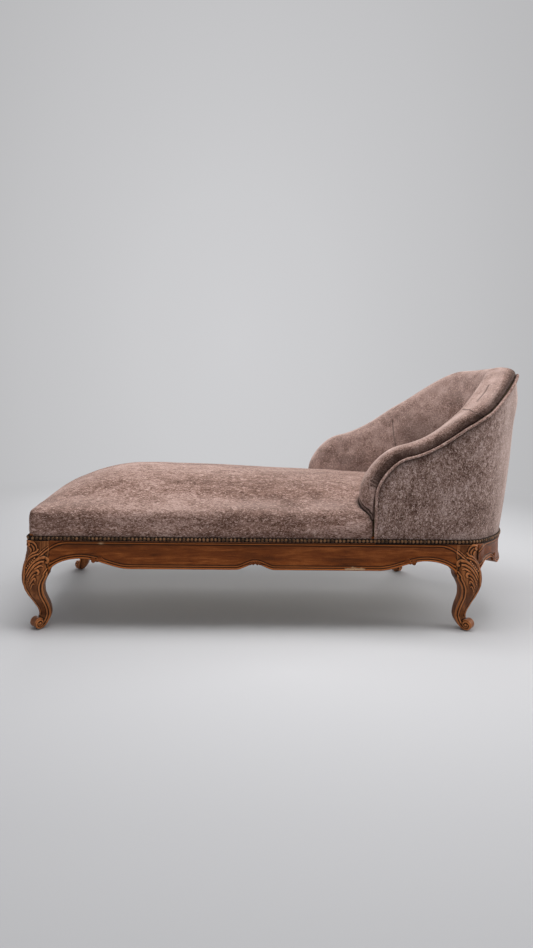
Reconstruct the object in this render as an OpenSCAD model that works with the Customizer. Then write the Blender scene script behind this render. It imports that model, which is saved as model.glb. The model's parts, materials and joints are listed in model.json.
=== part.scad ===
// Fainting couch in the French cabriole style: a long sprung seat with a padded tub back at the head end.
// X runs from the foot end to the head end, Y across the couch, Z up from the floor.
// The near side, the one in the photograph, is on the minus Y side.

/* [Overall size] */
// Length of the show wood frame, from the foot rail to the middle of the bowed head rail
frame_l = 1620; // [1500:5:1750]
// Width of the show wood frame over both side rails
frame_w = 710; // [660:5:760]
// How far the head rail bows out beyond the straight sides
bow_depth = 220; // [190:5:260]
// Radius that eases each straight side into the bow
corner_r = 130; // [120:5:150]
// Height of the show wood's top edge above the floor
show_top = 280; // [250:5:310]

/* [Rails] */
// Thickness of the seat rails
rail_t = 30; // [26:1:34]
// Height of the nailing strip above the show wood
strip_h = 22; // [18:1:26]
// How far the nailing strip is set back from the show wood's face
strip_d = 4; // [3:0.5:6]
// Drop of the apron's lobes below the show wood's top edge
lobe_drop = 84; // [70:1:96]
// Drop of the apron's lower edge at the top of each arch
arch_drop = 53; // [45:1:60]
// Drop of the apron where it meets the leg
wing_drop = 104; // [92:1:112]
// Drop of the notch in the middle of the apron
notch_drop = 66; // [58:1:70]
// Distance from the leg to the top of the arch on a side rail
side_arch = 99; // [80:1:120]
// Distance from the leg to the start of the lobe on a side rail
side_lobe = 250; // [200:5:300]
// Half width of the notch in the middle of a side rail
side_notch = 62; // [40:1:80]
// Distance from the leg to the top of the arch on a foot or head rail
end_arch = 78; // [60:1:90]
// Distance from the leg to the start of the lobe on a foot or head rail
end_lobe = 165; // [140:5:180]
// Half width of the notch in the middle of a foot or head rail
end_notch = 50; // [40:1:60]
// Width of the bead that is carved along the apron's lower edge
bead_w = 7; // [5:0.5:9]
// Height of the bead above the rail's face
bead_t = 2.5; // [1.5:0.5:4]
// Width of a webbing batten, measured across the couch
batten_w = 22; // [18:1:28]
// Height of a webbing batten
batten_h = 25; // [18:1:28]
// Depth of the cross braces that tie the side rails
brace_h = 30; // [24:1:36]
// Width of a cross brace along the couch
brace_w = 45; // [35:1:55]

/* [Legs] */
// Side of the square block at the top of a leg
leg_block = 68; // [60:1:76]
// How far the knee swells beyond the block
knee_swell = 16; // [10:1:20]
// Diameter of the scroll at the foot, seen from the side
scroll_d = 37; // [30:1:42]
// Length of the foot's scroll across the leg
scroll_w = 42; // [34:1:48]
// Diameter of the dowels that hold the rails to the legs
dowel_d = 10; // [8:0.5:12]
// Length of a dowel
dowel_l = 56; // [40:2:60]
// Length of a corner block's leg along a rail
block_l = 62; // [50:1:75]
// Diameter of a corner block screw
screw_d = 5; // [4:0.5:6]

/* [Seat] */
// Height of the seat's turned edge above the floor
seat_edge_z = 378; // [365:1:395]
// Rise of the seat's crown above its edge
seat_crown = 108; // [90:1:120]
// How much lower the crown is inside the tub than at the foot end
crown_fall = 25; // [0:1:40]
// How far the seat's border swells beyond the rails
seat_swell = 6; // [4:0.5:9]
// Thickness of the covers, which are velvet on calico
cover_t = 3; // [2:0.5:4]
// Radius of the seat's corners at the foot end, seen from above
foot_corner_r = 20; // [16:1:30]
// Rise of the hessian over the springs
spring_rise = 92; // [80:1:100]
// Outer radius of a seat spring's end coil
spring_r = 44; // [38:1:50]
// Radius of a seat spring at its waist
spring_waist_r = 29; // [24:1:34]
// Diameter of the spring wire
wire_d = 4; // [3.5:0.1:4.5]
// Width of the webbing
web_w = 50; // [45:1:60]
// Thickness of the webbing
web_t = 2; // [1.5:0.5:2.5]
// Thickness of a hessian or dust cover cloth
cloth_t = 1.5; // [1:0.5:2]
// Diameter of the twine that ties the springs
twine_d = 3; // [2.5:0.5:3.5]

/* [Tub back] */
// Length of the tub back, from the front of the near arm to the middle of the head rail
tub_l = 534; // [490:2:580]
// How much further the far arm reaches towards the foot
far_arm_lead = 46; // [0:2:60]
// Height of the piping where the front of an arm turns over
arm_z = 552; // [530:1:575]
// Height of the piping at the middle of the head
crest_z = 834; // [800:1:870]
// Half length of the level stretch of piping at the head
crest_half = 168; // [110:1:180]
// Length of the turned front corner of an arm
arm_turn_l = 98; // [70:1:110]
// Height of the turned front corner of an arm
arm_turn_h = 112; // [95:1:150]
// How far the head leans out at the crest
head_lean = 56; // [50:1:90]
// How far the sides lean out at the height of the crest
side_lean = 8; // [4:1:12]
// Thickness of the tub's wall from the outside to the inside cover
back_t = 100; // [94:1:112]
// Height of the roll's lower end, in the slit between the seat's border and the arm
roll_foot_z = 343; // [330:1:360]
// Height of the roll above the piping
roll_h = 32; // [28:1:44]
// Swell of the inside padding
pad_swell = 12; // [6:1:16]
// Radius of the piping
piping_r = 4.5; // [3:0.5:5.5]
// Thickness of the tub's wooden frame
wood_t = 30; // [26:1:34]
// Depth of the tub's wooden top rail
wood_h = 42; // [36:1:48]
// Width of a back upright
upright_w = 44; // [36:1:52]

/* [Trim] */
// Height of the braid
braid_h = 17; // [14:0.5:20]
// Thickness of the braid
braid_t = 1.5; // [1:0.5:2]
// Diameter of a nail head
nail_d = 9; // [7:0.5:10]
// Height of a nail head
nail_h = 2.6; // [2:0.2:3.2]
// Distance between nails
nail_pitch = 12.2; // [11:0.2:15]

/* [Hidden] */

// Clearance between pieces that touch
gap = 0.4;
// Length by which a cut runs past what it cuts
overrun = 2;

// Colours of the woods, cloths and metals
walnut = "#6e4124";
beech = "#c9a26b";
velvet = "#8d7671";
calico = "#d8cdb4";
jute = "#b08a58";
steel = "#8d9196";
brass = "#6f5836";
braid_colour = "#3b2b20";

// Sizes that follow from the ones above
half_w = frame_w / 2;
rail_top = show_top + strip_h;
bow_r = (half_w * half_w + bow_depth * bow_depth) / (2 * bow_depth);
bow_x = frame_l - bow_r;
ease_x = bow_x + sqrt(pow(bow_r - corner_r, 2) - pow(half_w - corner_r, 2));
ease_a = asin((ease_x - bow_x) / (bow_r - corner_r));
ease_s = corner_r * ease_a * PI / 180;
mid_s = ease_s + bow_r * (90 - ease_a) * PI / 180;
inner_r = half_w - back_t;
inner_x = frame_l - half_w;
straight_s = inner_x - ease_x;
batten_z = show_top - arch_drop + 4 * web_t;
web_z = batten_z - gap / 2 - web_t;
middle_x = (frame_l + head_lean + 2 * piping_r - knee_swell) / 2;
arm_x = frame_l - tub_l;
head_leg_x = frame_l - bow_depth + leg_block / 4;

// Moves a piece from the foot end's frame to the middle of the couch
module placed() {
    translate([-middle_x, 0, 0])
        children();
}

// Mirrors a piece to the far side when side is -1
module on_side(side) {
    scale([1, side, 1])
        children();
}

// Smooth step from 0 to 1
function smooth(t) =
    let (c = max(0, min(1, t)))
    c * c * (3 - 2 * c);

// Heading of the outside face at a distance s along the side, 0 on the straight and 90 at the head
function heading(s) =
    s <= 0 ? 0 :
    s <= ease_s ? s / corner_r * 180 / PI :
    ease_a + (s - ease_s) / bow_r * 180 / PI;

// Point of the near side's plan line at distance s from where the straight ends, moved out by grow
function plan_point(s, grow) =
    let (a = heading(s))
    s <= 0 ? [ease_x + s, -half_w - grow] :
    s <= ease_s ? [ease_x + (corner_r + grow) * sin(a), -half_w + corner_r - (corner_r + grow) * cos(a)] :
    [bow_x + (bow_r + grow) * sin(a), -(bow_r + grow) * cos(a)];

// Heading and place of the tub's inside plan line, at the point that faces the outside point at s
function inner_heading(s) = s <= straight_s ? 0 : 90 * (s - straight_s) / (mid_s - straight_s);
function inner_point(s) =
    let (a = inner_heading(s))
    s <= straight_s ? [ease_x + s, -inner_r] :
    [inner_x + inner_r * sin(a), -inner_r * cos(a)];

// How far up its lean the tub's wall is at height z, 1 at the crest
lean_curve_share = 0.6;
function lean_share(z) =
    let (t = max(0, z - rail_top) / (crest_z - rail_top))
    t * (1 + lean_curve_share * (1 - t));

// Shift of a wall's point at height z, where the wall heads at an angle: out at the side, back at the head
function wall_lean(angle, z) = lean_share(z) * [head_lean * sin(angle), -side_lean * cos(angle)];

// Point in the tub's wall: s along it, z up, d inwards from its outside face
function tub_point(side, s, z, d) =
    let (p = plan_point(s, 0) + wall_lean(heading(s), z),
         q = inner_point(s) + wall_lean(inner_heading(s), z),
         m = p + (q - p) * d / back_t)
    [m.x, side * m.y, z];

// Distance s of the front of an arm
function arm_s(lead) = arm_x - lead - ease_x;

// Height of the piping at distance s, for an arm that reaches lead further forward
arm_turn_share = 1.45;
even_rise_share = 0.3;
function edge_z(s, lead) =
    let (front = arm_s(lead),
         t = max(0, min(1, (s - front - arm_turn_l) / (mid_s - crest_half - front - arm_turn_l))),
         rise = smooth(t) + even_rise_share * (t - smooth(t)),
         back = max(0, 1 - (s - front) / arm_turn_l),
         drop = 1 - pow(1 - pow(min(1, back), arm_turn_share), 1 / arm_turn_share))
    arm_z + (crest_z - arm_z) * rise - arm_turn_h * drop;

// Slope of the piping line, as an angle
slope_step_share = 0.02;
function edge_slope(s, lead) =
    let (step = arm_turn_l * slope_step_share)
    s >= mid_s - step ? 0 :
    atan2(edge_z(s + step, lead) - edge_z(s - step, lead), 2 * step);

// Points [s, z, angle of the line] that follow the piping from the foot of an arm to the head's middle
front_steps = 2;
turn_steps = 6;
side_rise_steps = 6;
ease_rise_steps = 4;
bow_rise_steps = 9;
rise_steps = side_rise_steps + ease_rise_steps + bow_rise_steps;
function rise_s(lead, k) =
    let (level = arm_s(lead) + arm_turn_l,
         bow_k = k - side_rise_steps - ease_rise_steps)
    k < side_rise_steps ? level * (1 - k / side_rise_steps) :
    bow_k < 0 ? ease_s * (k - side_rise_steps) / ease_rise_steps :
    ease_s + (mid_s - ease_s) * bow_k / bow_rise_steps;
function turn_s(lead, k) = arm_s(lead) + arm_turn_l * (1 - cos(90 * k / turn_steps));
function edge_line(lead, z0) =
    let (front = arm_s(lead),
         turn_z = arm_z - arm_turn_h)
    concat(
        [for (k = [0:front_steps]) [front, z0 + (turn_z - z0) * k / front_steps, 90]],
        [for (k = [1:turn_steps - 1]) [turn_s(lead, k), edge_z(turn_s(lead, k), lead), edge_slope(turn_s(lead, k), lead)]],
        [for (k = [0:rise_steps])
            let (s = rise_s(lead, k))
            [s, edge_z(s, lead), edge_slope(s, lead)]]
    );

// Point beside the piping line: d inwards through the wall, e out from the frame
function roll_point(side, at, d, e) =
    tub_point(side, min(mid_s, at[0] - e * sin(at[2])), at[1] + e * cos(at[2]), d);

// Signed volume of a closed set of triangles
function signed_volume(points, faces) =
    let (parts = [for (f = faces) cross(points[f[0]], points[f[1]]) * points[f[2]]])
    parts * [for (p = parts) 1];

// Triangles that close one end of a skin: a strip between opposite points, or a fan round a middle point
function strip_cap(base, n) =
    [for (i = [0:n / 2 - 2])
        each [[base + i + 1, base + i, base + n - 2 - i], [base + i, base + n - 1 - i, base + n - 2 - i]]];
function fan_cap(base, n, middle) = [for (i = [0:n - 1]) [base + (i + 1) % n, base + i, middle]];

function turned(faces) = [for (f = faces) [f[2], f[1], f[0]]];

function middle_of(ring) = [for (axis = [0:2]) [for (p = ring) p[axis]] * [for (p = ring) 1] / len(ring)];

// Solid skin over a row of rings with as many points each
module skin(rings, loop = false, fan = false) {
    n = len(rings[0]);
    m = len(rings);
    points = concat([for (r = rings) each r], fan ? [middle_of(rings[0]), middle_of(rings[m - 1])] : []);
    sides = [for (j = [0:(loop ? m : m - 1) - 1], i = [0:n - 1])
        let (a = j * n + i,
             b = j * n + (i + 1) % n,
             c = ((j + 1) % m) * n + (i + 1) % n,
             d = ((j + 1) % m) * n + i)
        each [[a, b, c], [a, c, d]]];
    ends = loop ? [] :
        fan ? concat(fan_cap(0, n, m * n), turned(fan_cap((m - 1) * n, n, m * n + 1))) :
        concat(strip_cap(0, n), turned(strip_cap((m - 1) * n, n)));
    faces = concat(sides, ends);
    polyhedron(points, signed_volume(points, faces) < 0 ? faces : turned(faces));
}

// Rings around the whole tub: the near arm, the head and the far arm
function reversed(list) = [for (k = [len(list) - 1:-1:0]) list[k]];
function around(near, far) = concat(near, reversed([for (k = [0:len(far) - 2]) far[k]]));

// Distances s from inside the front of an arm to the head's middle, closer together round the arm's turn
function wall_line(lead, inset) =
    concat(
        [for (k = [0:turn_steps - 1])
            arm_s(lead) + inset + (arm_turn_l - inset) * (1 - cos(90 * k / turn_steps))],
        [for (k = [0:rise_steps]) rise_s(lead, k)]
    );

// Layer of the tub's wall from depth d0 to d1, from height z0 up to the piping less top_gap.
// A layer that starts below the top of the rails stands upright as far as there
wall_rows = 4;
function wall_ring(side, lead, s, d0, d1, swell, z0, top_gap) =
    let (z1 = edge_z(s - top_gap, lead) - top_gap,
         foot = max(z0, rail_top),
         rows = concat(z0 < rail_top ? [[z0, 0]] : [],
                       [for (k = [0:wall_rows]) [foot + (z1 - foot) * k / wall_rows, swell * sin(180 * k / wall_rows)]]))
    concat(
        [for (row = rows) tub_point(side, s, row[0], d0)],
        [for (row = reversed(rows)) tub_point(side, s, row[0], d1 + row[1])]
    );

module wall_layer(d0, d1, swell, z0, top_gap, inset) {
    skin(around(
        [for (s = wall_line(0, inset)) wall_ring(1, 0, s, d0, d1, swell, z0, top_gap)],
        [for (s = wall_line(far_arm_lead, inset)) wall_ring(-1, far_arm_lead, s, d0, d1, swell, z0, top_gap)]
    ));
}

// Drop of an apron's lower edge at distance u from the leg, for a rail of half length half
function apron_drop(u, half, arch, lobe, notch) =
    let (v = min(u, 2 * half - u),
         wing = 1 - sqrt(max(0, 1 - pow((arch - min(v, arch)) / arch, 2))))
    v < arch ? arch_drop + (wing_drop - arch_drop) * wing :
    v < half - notch ? arch_drop + (lobe_drop - arch_drop) * smooth((v - arch) / (lobe - arch)) :
    lobe_drop - (lobe_drop - notch_drop) * smooth((v - half + notch) / notch);

apron_steps = 72;

// Outline of a straight rail's face, with u along it and the show wood's top edge at 0
module apron_face(length, arch, lobe, notch, top) {
    polygon(concat(
        [for (k = [0:apron_steps])
            let (u = length * k / apron_steps)
            [u, -apron_drop(u, length / 2, arch, lobe, notch)]],
        [[length, top], [0, top]]
    ));
}

// Bead along the lower edge of a straight rail's face
module apron_bead(length, arch, lobe, notch) {
    polygon(concat(
        [for (k = [0:apron_steps])
            let (u = length * k / apron_steps)
            [u, -apron_drop(u, length / 2, arch, lobe, notch)]],
        [for (k = [apron_steps:-1:0])
            let (u = length * k / apron_steps)
            [u, bead_w - apron_drop(u, length / 2, arch, lobe, notch)]]
    ));
}

// Dowel holes or dowels: two, one above the other, around x along the X axis
dowel_low_share = 1;
dowel_high_share = 0.14;
module dowel_pair(diameter, length) {
    for (share = [dowel_high_share, dowel_low_share])
        translate([0, 0, show_top - share * arch_drop])
            rotate([0, 90, 0])
                cylinder(h = length, d = diameter, center = true, $fn = 24);
}

dowel_hole_d = dowel_d + gap / 2;
dowel_y = half_w - rail_t / 2;

// Straight rail with its nailing strip, bead, dowel holes and a hole for a block's screw at each place in
// screws, standing along X with its face on Y = 0
module straight_rail(length, arch, lobe, notch, screws) {
    difference() {
        union() {
            translate([0, rail_t, show_top])
                rotate([90, 0, 0])
                    linear_extrude(rail_t)
                        apron_face(length, arch, lobe, notch, 0);
            translate([0, strip_d, show_top - overrun])
                cube([length, rail_t - strip_d, strip_h + overrun]);
            translate([0, 0, show_top])
                rotate([90, 0, 0])
                    linear_extrude(bead_t)
                        apron_bead(length, arch, lobe, notch);
        }
        for (end = [0, length])
            translate([end, rail_t / 2, 0])
                dowel_pair(dowel_hole_d, dowel_l + gap);
        for (u = screws)
            translate([u, rail_t + overrun, block_z + block_h / 2])
                rotate([90, 0, 0])
                    cylinder(h = rail_t / 2 + overrun + gap, d = screw_d + gap, $fn = 20);
    }
}

side_rail_l = head_leg_x - 2 * leg_block;
foot_rail_l = frame_w - 2 * leg_block;

module rail_near() {
    color(walnut)
        placed()
            translate([leg_block, -half_w, 0])
                straight_rail(side_rail_l, side_arch, side_lobe, side_notch, [screw_u]);
}

module rail_far() {
    color(walnut)
        placed()
            translate([leg_block + side_rail_l, half_w, 0])
                rotate([0, 0, 180])
                    straight_rail(side_rail_l, side_arch, side_lobe, side_notch, [side_rail_l - screw_u]);
}

module rail_foot() {
    color(walnut)
        placed()
            translate([0, foot_rail_l / 2, 0])
                rotate([0, 0, -90])
                    straight_rail(foot_rail_l, end_arch, end_lobe, end_notch, [screw_u, foot_rail_l - screw_u]);
}

// Distance s at which the head rail leaves the leg
rail_head_s = corner_r * asin((head_leg_x - ease_x) / corner_r) * PI / 180;
rail_head_half = mid_s - rail_head_s;
head_rail_steps = 44;

// Section of the bowed head rail at distance s, with its bead and nailing strip
function head_rail_ring(side, s) =
    let (drop = apron_drop(s - rail_head_s, rail_head_half, end_arch, end_lobe, end_notch),
         z0 = show_top - drop,
         rows = [[-rail_t, z0], [bead_t, z0], [bead_t, z0 + bead_w], [0, z0 + bead_w], [0, show_top],
                 [-strip_d, show_top], [-strip_d, rail_top], [-rail_t, rail_top]])
    [for (r = rows)
        let (p = plan_point(s, r[0]))
        [p.x, side * p.y, r[1]]];

module rail_head() {
    near = [for (k = [0:head_rail_steps / 2])
        head_rail_ring(1, rail_head_s - rail_t / 2 + (mid_s - rail_head_s + rail_t / 2) * 2 * k / head_rail_steps)];
    far = [for (k = [0:head_rail_steps / 2])
        head_rail_ring(-1, rail_head_s - rail_t / 2 + (mid_s - rail_head_s + rail_t / 2) * 2 * k / head_rail_steps)];
    color(walnut)
        placed()
            difference() {
                skin(around(near, far));
                translate([head_leg_x - frame_w, -frame_w, 0])
                    cube([frame_w, 2 * frame_w, rail_top + overrun]);
                for (side = [-1, 1])
                    on_side(side)
                        translate([head_leg_x, -head_dowel_y, 0])
                            dowel_pair(dowel_hole_d, dowel_l + gap);
            }
}

head_dowel_y = -plan_point(rail_head_s, 0).y - rail_t / 2 - gap;

// Cabriole leg, seen along a rail: height, outer edge and inner edge as shares
leg_shares = [
    [0.000, 0.44, 0.78], [0.030, 0.36, 0.88], [0.075, 0.34, 0.98], [0.120, 0.49, 1.07],
    [0.160, 0.57, 1.12], [0.210, 0.48, 1.16], [0.280, 0.32, 1.10], [0.350, 0.13, 0.99],
    [0.420, -0.05, 0.92], [0.490, -0.16, 0.87], [0.560, -0.225, 0.86], [0.630, -0.235, 0.91],
    [0.700, -0.22, 0.98], [0.770, -0.15, 1.00], [0.850, -0.06, 1.00], [0.930, 0.00, 1.00]
];
leg_knee_share = 0.235;
leg_square_power_share = 3.2;
leg_post_share = 0.7;
scroll_in_share = 0.95;
scroll_lift_share = 0.66;
leg_sides = 16;

// Rounded square section of a leg, with one corner to the outside
function leg_ring(row) =
    let (z = row[0] * show_top,
         out = row[1] < 0 ? row[1] / leg_knee_share * knee_swell : row[1] * leg_block,
         inner = row[2] * leg_block,
         c = (out + inner) / 2,
         r = (inner - out) / 2)
    [for (k = [0:leg_sides - 1])
        let (a = 360 * (k + 0.5) / leg_sides,
             power = leg_square_power_share,
             stretch = pow(pow(abs(cos(a)), power) + pow(abs(sin(a)), power), -1 / power))
        [c + r * stretch * cos(a), c + r * stretch * sin(a), z]];

// Leg with its outer corner at the origin, reaching into +X and +Y
module leg() {
    post_z = leg_post_share * show_top;
    skin([for (row = leg_shares) leg_ring(row)]);
    translate([0, 0, post_z])
        cube([leg_block, leg_block, show_top - post_z]);
    translate([strip_d, strip_d, show_top - overrun])
        cube([leg_block - strip_d, leg_block - strip_d, strip_h + overrun]);
    translate([scroll_d * scroll_in_share, scroll_d * scroll_in_share, scroll_d * scroll_lift_share])
        rotate([0, 0, 45])
            rotate([90, 0, 0])
                cylinder(h = scroll_w, d = scroll_d, center = true, $fn = 32);
}

// Dowel holes of a foot leg, one pair for the side rail and one for the foot rail
module foot_leg_holes() {
    translate([leg_block, rail_t / 2, 0])
        dowel_pair(dowel_hole_d, dowel_l + gap);
    translate([rail_t / 2, leg_block, 0])
        rotate([0, 0, 90])
            dowel_pair(dowel_hole_d, dowel_l + gap);
}

// Cuts the top of the post at x back to the line of the nailing strip, in the steps of what lies over it
module strip_cut(x, steps) {
    translate([0, 0, show_top])
        linear_extrude(strip_h + overrun)
            difference() {
                translate([x - 2 * leg_block, -frame_w])
                    square([4 * leg_block, frame_w]);
                polygon(outline(-strip_d, steps));
            }
}

module foot_leg(side) {
    color(walnut)
        placed()
            on_side(side)
                difference() {
                    translate([0, -half_w, 0])
                        leg();
                    translate([0, -half_w, 0])
                        foot_leg_holes();
                    strip_cut(0, seat_steps);
                }
}

// Room for the head rail, which leaves the leg through the swell of its knee
module head_rail_room() {
    z0 = show_top - wing_drop - gap;
    steps = ceil(leg_block / rail_t) + 2;
    translate([0, 0, z0])
        linear_extrude(rail_top + overrun - z0)
            difference() {
                polygon(concat(
                    [for (k = [-1:steps]) plan_point(rail_head_s + k * rail_t / 2, bead_t + gap)],
                    [[frame_l, 0], [0, 0]]
                ));
                translate([0, -frame_w])
                    square([head_leg_x, frame_w]);
            }
}

module head_leg(side) {
    color(walnut)
        placed()
            on_side(side)
                difference() {
                    translate([head_leg_x, -half_w, 0])
                        mirror([1, 0, 0])
                            leg();
                    translate([head_leg_x, -head_dowel_y, 0])
                        dowel_pair(dowel_hole_d, dowel_l + gap);
                    translate([head_leg_x - leg_block, -dowel_y, 0])
                        dowel_pair(dowel_hole_d, dowel_l + gap);
                    strip_cut(head_leg_x, trim_steps);
                    head_rail_room();
                }
}

module leg_foot_near() {
    foot_leg(1);
}

module leg_foot_far() {
    foot_leg(-1);
}

module leg_head_near() {
    head_leg(1);
}

module leg_head_far() {
    head_leg(-1);
}

// Two dowels in each joint between a leg and a rail
module dowels() {
    color(beech)
        placed()
            for (side = [-1, 1])
                on_side(side) {
                    translate([leg_block, -dowel_y, 0])
                        dowel_pair(dowel_d, dowel_l);
                    translate([head_leg_x - leg_block, -dowel_y, 0])
                        dowel_pair(dowel_d, dowel_l);
                    translate([head_leg_x, -head_dowel_y, 0])
                        dowel_pair(dowel_d, dowel_l);
                    translate([rail_t / 2, leg_block - half_w, 0])
                        rotate([0, 0, 90])
                            dowel_pair(dowel_d, dowel_l);
                }
}

// Corner block that reaches from rail to rail round the inner corner of a foot leg
block_z = batten_z;
block_h = show_top - batten_z;
module corner_block_outline() {
    far_end = leg_block + block_l;
    polygon([
        [leg_block + gap, rail_t + gap], [far_end, rail_t + gap],
        [rail_t + gap, far_end], [rail_t + gap, leg_block + gap],
        [leg_block + gap, leg_block + gap]
    ]);
}

screw_along_share = 0.62;
screw_seat_share = 0.3;
screw_u = block_l * screw_along_share;
screw_at = leg_block + screw_u;
screw_seat = rail_t + block_l * screw_seat_share;

// Screw through the block into a rail: the shank points to the rail along -Y
module block_screw(extra) {
    translate([screw_at, screw_seat + overrun, block_z + block_h / 2])
        rotate([90, 0, 0])
            cylinder(h = screw_seat + overrun - rail_t / 2 + extra, d = screw_d + extra, $fn = 20);
    translate([screw_at, screw_seat + (extra > 0 ? block_l : screw_d / 2), block_z + block_h / 2])
        rotate([90, 0, 0])
            cylinder(h = (extra > 0 ? block_l : screw_d / 2), d = screw_d * 2 + extra * 2, $fn = 20);
}

module corner_block(side) {
    color(beech)
        placed()
            on_side(side)
                translate([0, -half_w, 0])
                    difference() {
                        translate([0, 0, block_z])
                            linear_extrude(block_h)
                                corner_block_outline();
                        block_screw(gap);
                        mirror([1, -1, 0])
                            block_screw(gap);
                    }
}

module corner_block_foot_near() {
    corner_block(1);
}

module corner_block_foot_far() {
    corner_block(-1);
}

// Three cornered glue block behind a head leg
module glue_block(side) {
    color(beech)
        placed()
            on_side(side)
                translate([head_leg_x - leg_block - gap, rail_t + gap - half_w, block_z])
                    linear_extrude(block_h)
                        polygon([[0, 0], [0, leg_block - rail_t], [-block_l, 0]]);
}

module glue_block_head_near() {
    glue_block(1);
}

module glue_block_head_far() {
    glue_block(-1);
}

// Four screws that hold the corner blocks to the rails
module block_screws() {
    color(steel)
        placed()
            for (side = [-1, 1])
                on_side(side)
                    translate([0, -half_w, 0]) {
                        block_screw(0);
                        mirror([1, -1, 0])
                            block_screw(0);
                    }
}

// Battens along the rails that the webbing is tacked to
module side_batten(side) {
    first_x = leg_block + block_l + gap;
    last_x = head_leg_x - leg_block - block_l - 2 * gap;
    color(beech)
        placed()
            on_side(side)
                translate([first_x, rail_t + gap - half_w, batten_z])
                    cube([last_x - first_x, batten_w, batten_h]);
}

module batten_near() {
    side_batten(1);
}

module batten_far() {
    side_batten(-1);
}

module batten_foot() {
    half_l = half_w - leg_block - block_l - gap;
    color(beech)
        placed()
            translate([rail_t + gap, -half_l, batten_z])
                cube([batten_w, 2 * half_l, batten_h]);
}

module batten_head() {
    first_s = rail_head_s + leg_block;
    line = [for (k = [0:bow_steps]) first_s + (mid_s - first_s) * k / bow_steps];
    outer = [for (s = line) plan_point(s, -rail_t - gap)];
    inner = [for (s = line) plan_point(s, -rail_t - gap - batten_w)];
    color(beech)
        placed()
            translate([0, 0, batten_z])
                linear_extrude(batten_h)
                    polygon(concat(
                        outer, reversed([for (p = outer) [p.x, -p.y]]),
                        [for (p = inner) [p.x, -p.y]], reversed(inner)
                    ));
}

// Cross braces that lie on the side battens, between two rows of springs
module cross_brace(column) {
    brace_l = frame_w - 2 * rail_t - 2 * gap;
    color(beech)
        placed()
            translate([spring_x(column) - brace_w / 2, -brace_l / 2, batten_z + batten_h + gap])
                cube([brace_w, brace_l, brace_h]);
}

module cross_brace_foot() {
    cross_brace(1.5);
}

module cross_brace_head() {
    cross_brace(3.5);
}

// Springs stand in rows of three, which draw together in the curve of the tub
spring_columns = 6;
spring_rows = [-1, 0, 1];
spring_first_x = rail_t + batten_w + 3 * spring_r;
spring_last_x = inner_x + inner_r / 2;
spring_row_share = 0.58;
spring_row_w = (half_w - rail_t) * spring_row_share;
tub_room = inner_r - pad_swell - 2 * twine_d;
function spring_x(column) =
    spring_first_x + (spring_last_x - spring_first_x) * column / (spring_columns - 1);
function spring_y(column, row) =
    let (past = max(0, spring_x(column) - inner_x))
    row * min(spring_row_w, sqrt(pow(tub_room - spring_r, 2) - past * past));

// Lengthwise straps under the battens, with the crosswise straps below them
strap_count = 7;
cross_strap_count = 13;
strap_span = half_w - leg_block - web_w / 2 - 4 * gap;
module seat_webbing() {
    first_x = rail_t + gap;
    strap_pitch = 2 * strap_span / (strap_count - 1);
    cross_first = rail_t + batten_w + web_w;
    cross_last = head_leg_x - leg_block - web_w;
    cross_l = frame_w - 2 * rail_t - 2 * gap;
    color(jute)
        placed() {
            for (k = [0:strap_count - 1]) {
                y = -strap_span + k * strap_pitch;
                reach = abs(y) + web_w / 2;
                last_x = bow_x + sqrt(pow(bow_r - rail_t - gap, 2) - reach * reach);
                translate([first_x, y - web_w / 2, web_z])
                    cube([last_x - first_x, web_w, web_t]);
            }
            for (k = [0:cross_strap_count - 1])
                translate([cross_first + (cross_last - cross_first) * k / (cross_strap_count - 1) - web_w / 2,
                           -cross_l / 2, web_z - gap / 2 - web_t])
                    cube([web_w, cross_l, web_t]);
        }
}

// Steps of the seat's plan round a foot corner, along a side, round the easing and round the bow
bow_steps = 13;
trim_steps = [8, 1, 5, bow_steps];
seat_steps = [3, 4, 2, 6];

// Plan of the seat: points of the near half at a distance outside the rails, from foot to head
function half_outline(grow, steps) =
    let (r = max(foot_corner_r, gap - grow),
         foot_y = half_w - r)
    concat(
        [for (k = [0:1]) [-grow, -foot_y * (k + 0.5) / 2]],
        [for (k = [0:steps[0]])
            let (a = 180 + 90 * k / steps[0])
            [r + (r + grow) * cos(a), -foot_y + (r + grow) * sin(a)]],
        [for (k = [1:steps[1]]) [r + (ease_x - r) * k / steps[1], -half_w - grow]],
        [for (k = [1:steps[2]]) plan_point(ease_s * k / steps[2], grow)],
        [for (k = [1:steps[3]]) plan_point(ease_s + (mid_s - ease_s) * k / (steps[3] + 0.5), grow)]
    );
function outline(grow, steps) =
    let (half = half_outline(grow, steps))
    concat(half, reversed([for (p = half) [p.x, -p.y]]));

// Outline drawn in towards the middle line of the seat; grow is negative inwards
seat_mid_x = half_w;
function seat_outline(grow) =
    [for (p = outline(0, seat_steps))
        let (c = [max(seat_mid_x, min(inner_x, p.x)), 0])
        c + (p - c) * (1 + grow / half_w)];

// Height of a dome over the seat's plan, 1 on the middle line and 0 at the rails
function dome_share(x, y, power) =
    let (across = min(1, abs(y) / half_w),
         foot = x < seat_mid_x ? min(1, (seat_mid_x - x) / seat_mid_x) : 0,
         head = x > inner_x ? min(1, (x - inner_x) / half_w) : 0)
    (1 - pow(across, power)) * (1 - pow(foot, power)) * (1 - pow(head, power));

crown_power_share = 2.4;
spring_power_share = 4;
function crown_at(x) = seat_crown - crown_fall * smooth((x - seat_mid_x) / (inner_x - seat_mid_x));
function seat_z(x, y) = seat_edge_z + crown_at(x) * dome_share(x, y, crown_power_share);
function springs_z(x, y) = rail_top + gap + spring_rise * dome_share(x, y, spring_power_share);

// Border of the seat: how far it swells out and how high, as shares, from the rail up
border_shares = [[0.6, 0.33], [1, 0.68], [0.45, 0.91]];
// How far the rings of the seat's top are drawn in
crown_shares = [0.035, 0.1, 0.21, 0.38, 0.62, 0.86];

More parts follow.
